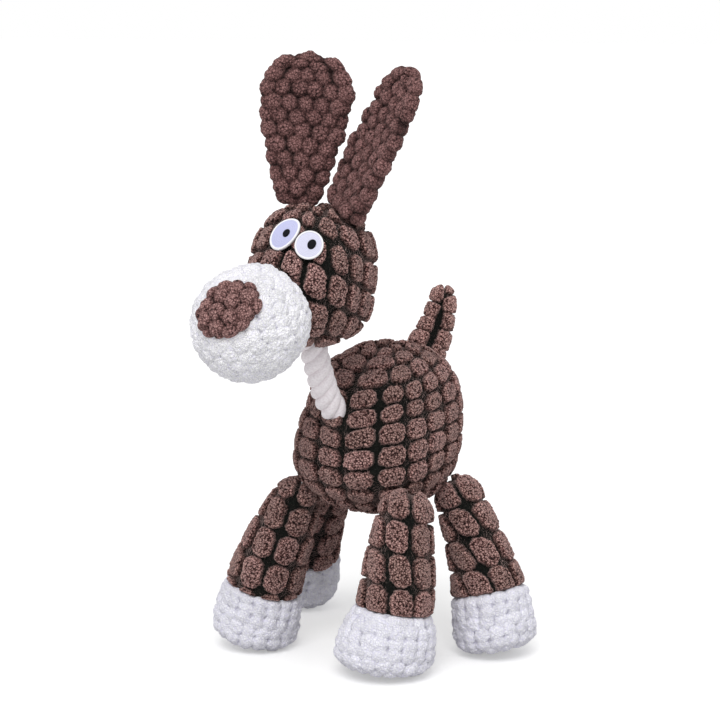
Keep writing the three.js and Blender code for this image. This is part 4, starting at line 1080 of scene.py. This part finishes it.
muzzle_droop = np.radians(21.6)
muzzle_axis = facing(0, -muzzle_droop)
muzzle_way = head_turned @ muzzle_axis
muzzle_up = head_turned @ np.array([0, -np.sin(muzzle_droop), np.cos(muzzle_droop)])
muzzle_side = head_turned @ np.array([1.0, 0, 0])
muzzle_seam, muzzle_bulge, muzzle_radius, muzzle_back = 26.5, 46.5, 25.0, 32.0
muzzle_edge, muzzle_inside = 36.6, 34  # degrees off its axis where it is sewn on, and bare within
head_pads = {
    "keel": 4.0, "climb": -60.0, "lowest": -51.0, "step": 25.0, "gaps": (2.0, 1.3), "chamfer": 2.2,
    "rows": [-4, -1, 0, 1, 3, 4, 5], "counts": [4, 8, 14, 16, 12, 8, 4], "shift": 0.0,
    "wander": 0.8, "wander_cell": 20, "row_wander": 0.04,
}
eyes = {
    "left": {"azimuth": 27.8, "elevation": 34.2, "across": 6.0, "up": 6.0, "turn": 0, "pupil": 1.0},
    "right": {"azimuth": -1.5, "elevation": 40.3, "across": 5.6, "up": 7.7, "turn": -28, "pupil": 0.86},
}


def patch_axes(patch):
    """Rows are the across, up and outward directions of a patch that faces an azimuth and elevation."""
    azimuth, elevation, t = np.radians([patch["azimuth"], patch["elevation"], patch["turn"]])
    out = facing(azimuth, elevation)
    across = unit(np.cross([0, 0, 1.0], out))
    up = np.cross(out, across)
    return np.stack([np.cos(t) * across + np.sin(t) * up, np.cos(t) * up - np.sin(t) * across, out])


def on_patch(points, axes, patch):
    """(ring, ahead): how far out on an oval patch a point lies, 1 at its edge, and if it is on its side."""
    spot = points @ axes.T
    ring = np.sqrt((spot[..., 0] / patch["across"]) ** 2 + (spot[..., 1] / patch["up"]) ** 2)
    return ring, spot[..., 2] > 0


base, turn, level = quilt(head_half - backing_depth, head_squareness, head_pads, 0.0, 270, 470)
ray = unit(base)
leaning = ray @ muzzle_axis
off_axis = np.degrees(np.arccos(np.clip(leaning, -1, 1)))
# The cloth stands out round the muzzle's seam.
flare = 2.6 * np.exp(-(np.clip(off_axis - muzzle_edge, 0, None) / 9) ** 2)
base = base + ray * flare[..., None]
# The filling settles, and the lower back of the head sags outwards.
level_reach = np.maximum(np.hypot(base[..., 0], base[..., 1]), 1e-6)
sag = 2.6 * np.exp(-((base[..., 2] + 20) / 9) ** 2) * np.clip(0.4 + base[..., 1] / 40, 0, 1)
sag = sag * np.clip(level_reach / 14, 0, 1) / level_reach
base[..., :2] = base[..., :2] * (1 + sag)[..., None]
# The front is cut open by a plane across the muzzle's axis.
reach = np.linalg.norm(base, axis=-1)
cut = (muzzle_seam - 1.0) / np.maximum(leaning, 0.05)
reach = np.where(leaning > 0.05, np.minimum(reach, cut), reach)
base = unit(base) * reach[..., None]
lift, features = quilted(base, turn, level, head_pads, 700)
# The eyes press the pads under them down.
for eye in eyes.values():
    ring, ahead = on_patch(base, patch_axes(eye), eye)
    under_eye = ahead * np.clip((1.22 - ring) / 0.2, 0, 1)
    lift = np.minimum(lift, pile_height * 1.1 - under_eye * 1.3)
lift = np.where(off_axis < muzzle_inside, 0, lift)
placed = head_middle + lifted(base, lift) @ head_turned.T
placed = giving_way(placed, head_middle, ear_balls)
head = pile_skin("head_plush", placed, features, brick_plush)
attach(head, "head")
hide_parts("head_cover")


# Muzzle. An egg of white bobble-pile plush, stuffed hard and sewn round its edge to the open front of the
# head. Its rows of tufts slant across it and are lower on the dog's left.

# The muzzle's copy of the white bobble plush, lighter than the paws' as painted light; its darkest colour and the
# shares that follow are painted shade between curls and where tufts meet.
bobble_white = bobble_plush_material(
    "bobble_plush_white", srgb(255, 255, 255), srgb(254, 253, 255), srgb(244, 242, 255),
    ((0.1, (0.84, 0.83, 0.87)), (0.3, (0.97, 0.97, 0.99)), (0.45, (1, 1, 1))),
    0.0011, srgb(245, 245, 255), 0.6)
muzzle_middle = head_middle + muzzle_bulge * muzzle_way + np.array([-0.4, 0.2, -0.8])
muzzle_depth = 2.3  # of the tufts' roots under the outline
muzzle_tuft, muzzle_row, muzzle_bobble_height = 7.0, 5.0, 1.7
muzzle_slant = np.radians(16)
muzzle_frame = np.stack([muzzle_side, -muzzle_way, muzzle_up])
way = globe(230, 400) @ turning(1, -muzzle_slant)
forward = -way[..., 1]
lengthwise = np.where(forward > 0, muzzle_radius, muzzle_back) - muzzle_depth
round_about = (way[..., 0] ** 2 + way[..., 2] ** 2) / (muzzle_radius - muzzle_depth) ** 2
reach = 1 / np.sqrt(round_about + (forward / lengthwise) ** 2)
to_seam = muzzle_bulge - muzzle_seam - 0.4
reach = np.where(forward < -0.05, np.minimum(reach, to_seam / np.maximum(-forward, 0.05)), reach)
base = muzzle_middle + (way * reach[..., None]) @ muzzle_frame
behind = -(base - muzzle_middle) @ muzzle_way
pile, tuft, rise = bobbled(base, muzzle_tuft, muzzle_row, 800, 1.1 * drift(base, 20, 801))
lift = bobble_pile(base, pile, muzzle_bobble_height, 802) * np.clip((to_seam - behind) / 3.0, 0, 1)
# The nose presses the tufts under it down.
nose = {"azimuth": 9.4, "elevation": 26.0, "across": 14.4, "up": 11.4, "turn": 42}
nose_axes = patch_axes(nose) @ head_turned.T
ring, ahead = on_patch(base - muzzle_middle, nose_axes, nose)
under_nose = 1.2 + 3.2 * np.clip((ring - 0.8) / 0.2, 0, 1)
lift = np.where(ahead & (ring < 1), np.minimum(lift, under_nose), lift)
muzzle = pile_skin("muzzle_plush", lifted(base, lift), {"pile": pile, "tuft": tuft}, bobble_white)
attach(muzzle, "head")
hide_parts("muzzle_cover")


# Nose. A rounded patch of the brown bobble-pile plush, sewn onto the upper front of the muzzle. Its tufts
# are a little smaller than those of the ears.

nose_row, nose_tuft, nose_sheet = 5.2, 6.4, 57.6  # the sheet is the cloth that the patch is cut from
nose_bobble_height = 3.0
top_count, under_count = 110, 10
ring_share = np.concatenate([np.linspace(0, 1, top_count), np.linspace(1, 0, under_count)[1:]])[:, None]
on_top = (np.arange(len(ring_share)) < top_count).astype(float)[:, None]
turn = full_turn(300)[None]
# The patch's edge bulges where a tuft of its cloth stands at it.
near_edge = np.stack([nose["across"] * np.cos(turn), nose["up"] * np.sin(turn)], -1) * 0.93
counts = np.full(12, round(nose_sheet / nose_tuft))
# Its darkest colour and the shares that follow are painted shade between curls and where tufts meet.
bobble_nose = bobble_plush_material(
    "bobble_plush_nose", srgb(206, 165, 160), srgb(142, 104, 101), srgb(34, 20, 20),
    ((0.2, (0.2, 0.17, 0.17)), (0.5, (0.6, 0.56, 0.56)), (0.8, (1, 1, 1))),
    0.0010, srgb(214, 176, 172), 0.25)


def nose_bobbles(across, up):
    """(height, tuft) of the nose's tufts at a place on the flat patch."""
    warp = 0.7 * drift(np.stack([across, up, 0 * up], -1), 12, 821)
    length = np.full(across.shape, nose_sheet)
    return bobbles(across / nose_sheet + 0.5, length, up + nose_sheet / 2, counts, nose_row, 820, warp)


outline = 0.9 + 0.14 * nose_bobbles(near_edge[..., 0], near_edge[..., 1])[0]
across = nose["across"] * ring_share * np.cos(turn) * outline
up = nose["up"] * ring_share * np.sin(turn) * outline
out = np.sqrt(np.clip((muzzle_radius - 0.6) ** 2 - across ** 2 - up ** 2, 1, None))
patch = np.stack([across, up, out], -1)
pile, tuft = nose_bobbles(across, up)
swell = np.sqrt(np.clip(1 - ring_share ** 10, 0, 1))
lift = on_top * swell * (0.4 + bobble_pile(patch, pile, nose_bobble_height, 822)) - (1 - on_top) * 1.2
base = muzzle_middle + (patch + unit(patch) * lift[..., None]) @ nose_axes
nose_patch = pile_skin("nose_plush", base, {"pile": pile, "tuft": tuft}, bobble_nose)
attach(nose_patch, "head")
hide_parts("nose_patch")


# Eyes. Two embroidered patches sewn onto the pile: a tall oval on the dog's right and a round one on its
# left. Each has a fill of fine thread, a raised satin-stitched rim of white thread and a black pupil.

rim_share = 0.86  # of the way out, where the rim begins
top_rings = 90
pupil = {"across": 1.8, "up": 2.2, "turn": -20, "aside": 2.6}


def over_head(across, up, axes, by):
    """Where the line at (across, up) beside a patch's outward axis leaves the head's outline grown by a
    distance: the span from 0 to twice the head's height is halved thirty times."""
    low, high = np.zeros(across.shape), np.full(across.shape, 2 * head_half[2])
    half = head_half + by
    for _ in range(30):
        middle = (low + high) / 2
        spot = across[..., None] * axes[0] + up[..., None] * axes[1] + middle[..., None] * axes[2]
        inside = (np.abs(spot / half) ** head_squareness).sum(-1) < 1
        low, high = np.where(inside, middle, low), np.where(inside, high, middle)
    return across[..., None] * axes[0] + up[..., None] * axes[1] + low[..., None] * axes[2]


def stitched_patch(name, patch, shape, base_height, heights, stitches, fill_pitch, material):
    """A thin domed oval of embroidery: rings from its middle out to its edge, over the rim and in
    underneath. heights are of the fill and the rim. The rim carries radial ridges, two to a stitch, and
    the fill has rings of thread a pitch apart. Where both heights are the same it is one low dome."""
    axes = patch_axes(patch)
    ring = np.concatenate([np.linspace(0, 1, top_rings), [1.0], np.linspace(1, 0, 6)[1:]])[:, None]
    turn = full_turn(4 * stitches)[None]
    across = shape["across"] * ring * np.cos(turn)
    up = shape["up"] * ring * np.sin(turn)
    in_rim = np.clip((ring - rim_share) / (1 - rim_share), 0, 1) if heights[1] > heights[0] else 0 * ring
    arch = np.sqrt(np.clip(4 * in_rim * (1 - in_rim), 0, 1))
    size = min(shape["across"], shape["up"])
    thread = np.abs(np.sin(np.pi * ring * size / fill_pitch)) * (ring < rim_share)
    radial = np.abs(np.sin(stitches * turn)) * (in_rim > 0) + 0 * ring
    lift = heights[0] + (heights[1] - heights[0]) * arch + 0.07 * thread + 0.12 * radial * arch
    lift = np.where(in_rim >= 1, heights[0] * 0.75, lift)
    if heights[1] == heights[0]:
        lift = heights[0] * np.sqrt(np.clip(1 - ring ** 6, 0, 1)) + 0.05 * thread + 0 * turn
    lift[top_rings:] = 0
    frame_points = over_head(across + 0 * turn, up + 0 * turn, axes, base_height)
    placed = frame_points + unit(frame_points / head_half ** 2) * lift[..., None]
    features = {"rim": in_rim + 0 * turn, "thread": np.maximum(thread + 0 * turn, radial)}
    made = pile_skin(name, head_middle + placed @ head_turned.T, features, material)
    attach(made, "head")
    return made


def thread_material(name, fill, rim, gap_shade_share):
    """Embroidery thread with a silky sheen: one colour in the fill and one in the rim, with painted shade
    between neighbouring threads."""
    material, nodes, links, shader = cloth_shader(name, 0.7, 0.05, (1, 1, 1))
    spun = noise(nodes, links, 2200, 3).outputs["Fac"]
    in_rim = ramp(nodes, links, read(nodes, "rim"), [(0.02, (0, 0, 0)), (0.1, (1, 1, 1))])
    colour = mixed(nodes, links, "MIX", in_rim, fill, rim)
    # Painted shade between neighbouring threads, down to the given share.
    darker = [(0.0, (gap_shade_share,) * 3), (0.5, (1, 1, 1))]
    colour = toned(nodes, links, colour, read(nodes, "thread"), darker)
    colour = toned(nodes, links, colour, spun, [(0.3, (0.93,) * 3), (0.7, (1.02,) * 3)])
    links.new(colour, shader.inputs["Base Color"])
    bumped(nodes, links, shader, spun, 0.00012, 0.6)
    return material


eye_thread = {
    "left": thread_material("eye_thread_left", srgb(216, 216, 236), srgb(252, 252, 255), 0.8),
    "right": thread_material("eye_thread_right", srgb(194, 196, 230), srgb(252, 252, 255), 0.84),
}
pupil_thread = thread_material("pupil_thread", srgb(4, 4, 14), srgb(4, 4, 14), 0.5)
for side_name, eye in eyes.items():
    white = stitched_patch(
        f"eye_{side_name}_patch", eye, eye, 0.25, (1.0, 1.3), 64, 0.62, eye_thread[side_name])
    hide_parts(f"eye_patch_{side_name}")
    spot = {**eye, "azimuth": eye["azimuth"] + pupil["aside"], "turn": pupil["turn"]}
    dot_shape = {way: eye["pupil"] * pupil[way] for way in ("across", "up")}
    dot = stitched_patch(f"eye_{side_name}_pupil", spot, dot_shape, 1.2, (0.6, 0.6), 24, 0.5, pupil_thread)
    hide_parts(f"pupil_{side_name}")


# Stuffing and squeaker. Loose white polyester fibre fills every cover. A blown bladder with a flanged plug
# and a thin reed lies between the two wads in the belly. None of this shows.


def moulded_material(name, colour, roughness, milky):
    """Thin blown or moulded plastic: one colour with faint clouding, and a trace of light let through."""
    material = bpy.data.materials.new(name)
    material.use_nodes = True
    nodes, links = material.node_tree.nodes, material.node_tree.links
    shader = nodes["Principled BSDF"]
    shader.inputs["Roughness"].default_value = roughness
    shader.inputs["Transmission Weight"].default_value = milky
    cloud = noise(nodes, links, 140, 2).outputs["Fac"]
    tone = ramp(nodes, links, cloud, [(0.35, tuple(0.92 * c for c in colour)), (0.65, colour)])
    links.new(tone, shader.inputs["Base Color"])
    bumped(nodes, links, shader, cloud, 0.0002, 0.3)
    return material


def carried(node, material):
    """Gives a solid that stays as it is its finished material."""
    slots = frame["nodes"][node].data.materials
    if len(slots):
        slots[0] = material
    else:
        slots.append(material)


def fibre_material():
    """Crimped white polyester fibre in loose clumps."""
    material, nodes, links, shader = cloth_shader("fibre_filling", 1.0, 0.4, (1, 1, 1))
    crimp = noise(nodes, links, 420, 8)
    crimp.inputs["Distortion"].default_value = 2.0
    tone = ramp(nodes, links, crimp.outputs["Fac"], [(0.3, (0.72, 0.71, 0.68)), (0.65, (0.9, 0.89, 0.86))])
    links.new(tone, shader.inputs["Base Color"])
    bumped(nodes, links, shader, crimp.outputs["Fac"], 0.001, 1.0)
    return material


def leg_shaped(leg, hip, points):
    """A leg's filling under its cloth: moved aside as the leg is, and narrowed in the paw by its share."""
    share = np.clip((hip[2] - points[:, 2]) / hip[2], 0, 1)
    middle = hip + leg_line(leg, share)[0]
    narrow = 1 - (1 - leg["paw"]) * np.clip((share - 0.55) / 0.15, 0, 1)
    away = (points - middle) * np.stack([narrow, narrow, 1 + 0 * narrow], -1)
    return middle + away + aside(leg, share)


def wad(node, seed):
    """A lump of fibre in the shape of its CAD solid: the solid is copied, merged and remeshed in small
    cubes, and each point is drawn inwards along its normal by wandering of two sizes."""
    lump = bmesh.new()
    lump.from_mesh(frame["nodes"][node].data)
    bmesh.ops.remove_doubles(lump, verts=lump.verts, dist=1e-6)
    merged = bpy.data.meshes.new(f"{node}_merged")
    lump.to_mesh(merged)
    lump.free()
    rough = bpy.data.objects.new(f"{node}_wad", merged)
    bpy.context.scene.collection.objects.link(rough)
    cubes = rough.modifiers.new("cubes", "REMESH")
    cubes.mode, cubes.voxel_size = "VOXEL", 0.0016  # metres
    mesh = bpy.data.meshes.new_from_object(rough.evaluated_get(bpy.context.evaluated_depsgraph_get()))
    rough.modifiers.clear()
    rough.data = mesh
    bpy.data.meshes.remove(merged)
    places, normals = (np.empty(len(mesh.vertices) * 3, np.float32) for _ in range(2))
    mesh.vertices.foreach_get("co", places)
    mesh.vertex_normals.foreach_get("vector", normals)
    places, normals = places.reshape(-1, 3) * 1000.0, normals.reshape(-1, 3)
    if node.startswith("torso"):
        places = torso_middle + chest_shaped(places - torso_middle)
    for place, leg in legs.items():
        if node.startswith(place):
            places = leg_shaped(leg, hinges[f"{place}_swing"], places)
    inwards = 0.5 + 0.55 * (1 + drift(places, 9, seed)) + 0.25 * (1 + drift(places, 3, seed + 1))
    if node.startswith("tail"):
        inwards = inwards + tail_thinner
    places = (places - normals * inwards[:, None]) / 1000
    mesh.vertices.foreach_set("co", places.ravel().astype(np.float32))
    mesh.polygons.foreach_set("use_smooth", np.ones(len(mesh.polygons), bool))
    mesh.materials.clear()
    mesh.materials.append(fibre)
    mesh.update()
    return rough


tail_thinner = 1.4  # than the others, so that it stays inside the narrow tail
fibre = fibre_material()
for body, nodes in frame["record"]["behaviour"]["bodies"].items():
    for seed, node in enumerate(name for name in nodes if "filling" in name):
        lump = wad(node, 900 + 2 * seed)
        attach(lump, body)
        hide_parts(node)
carried("squeaker_bladder", moulded_material("squeaker_bladder", (0.8, 0.8, 0.77), 0.4, 0.15))
carried("squeaker_plug", moulded_material("squeaker_plug", (0.88, 0.88, 0.85), 0.35, 0.0))
carried("squeaker_reed", moulded_material("squeaker_reed", (0.6, 0.6, 0.57), 0.3, 0.0))
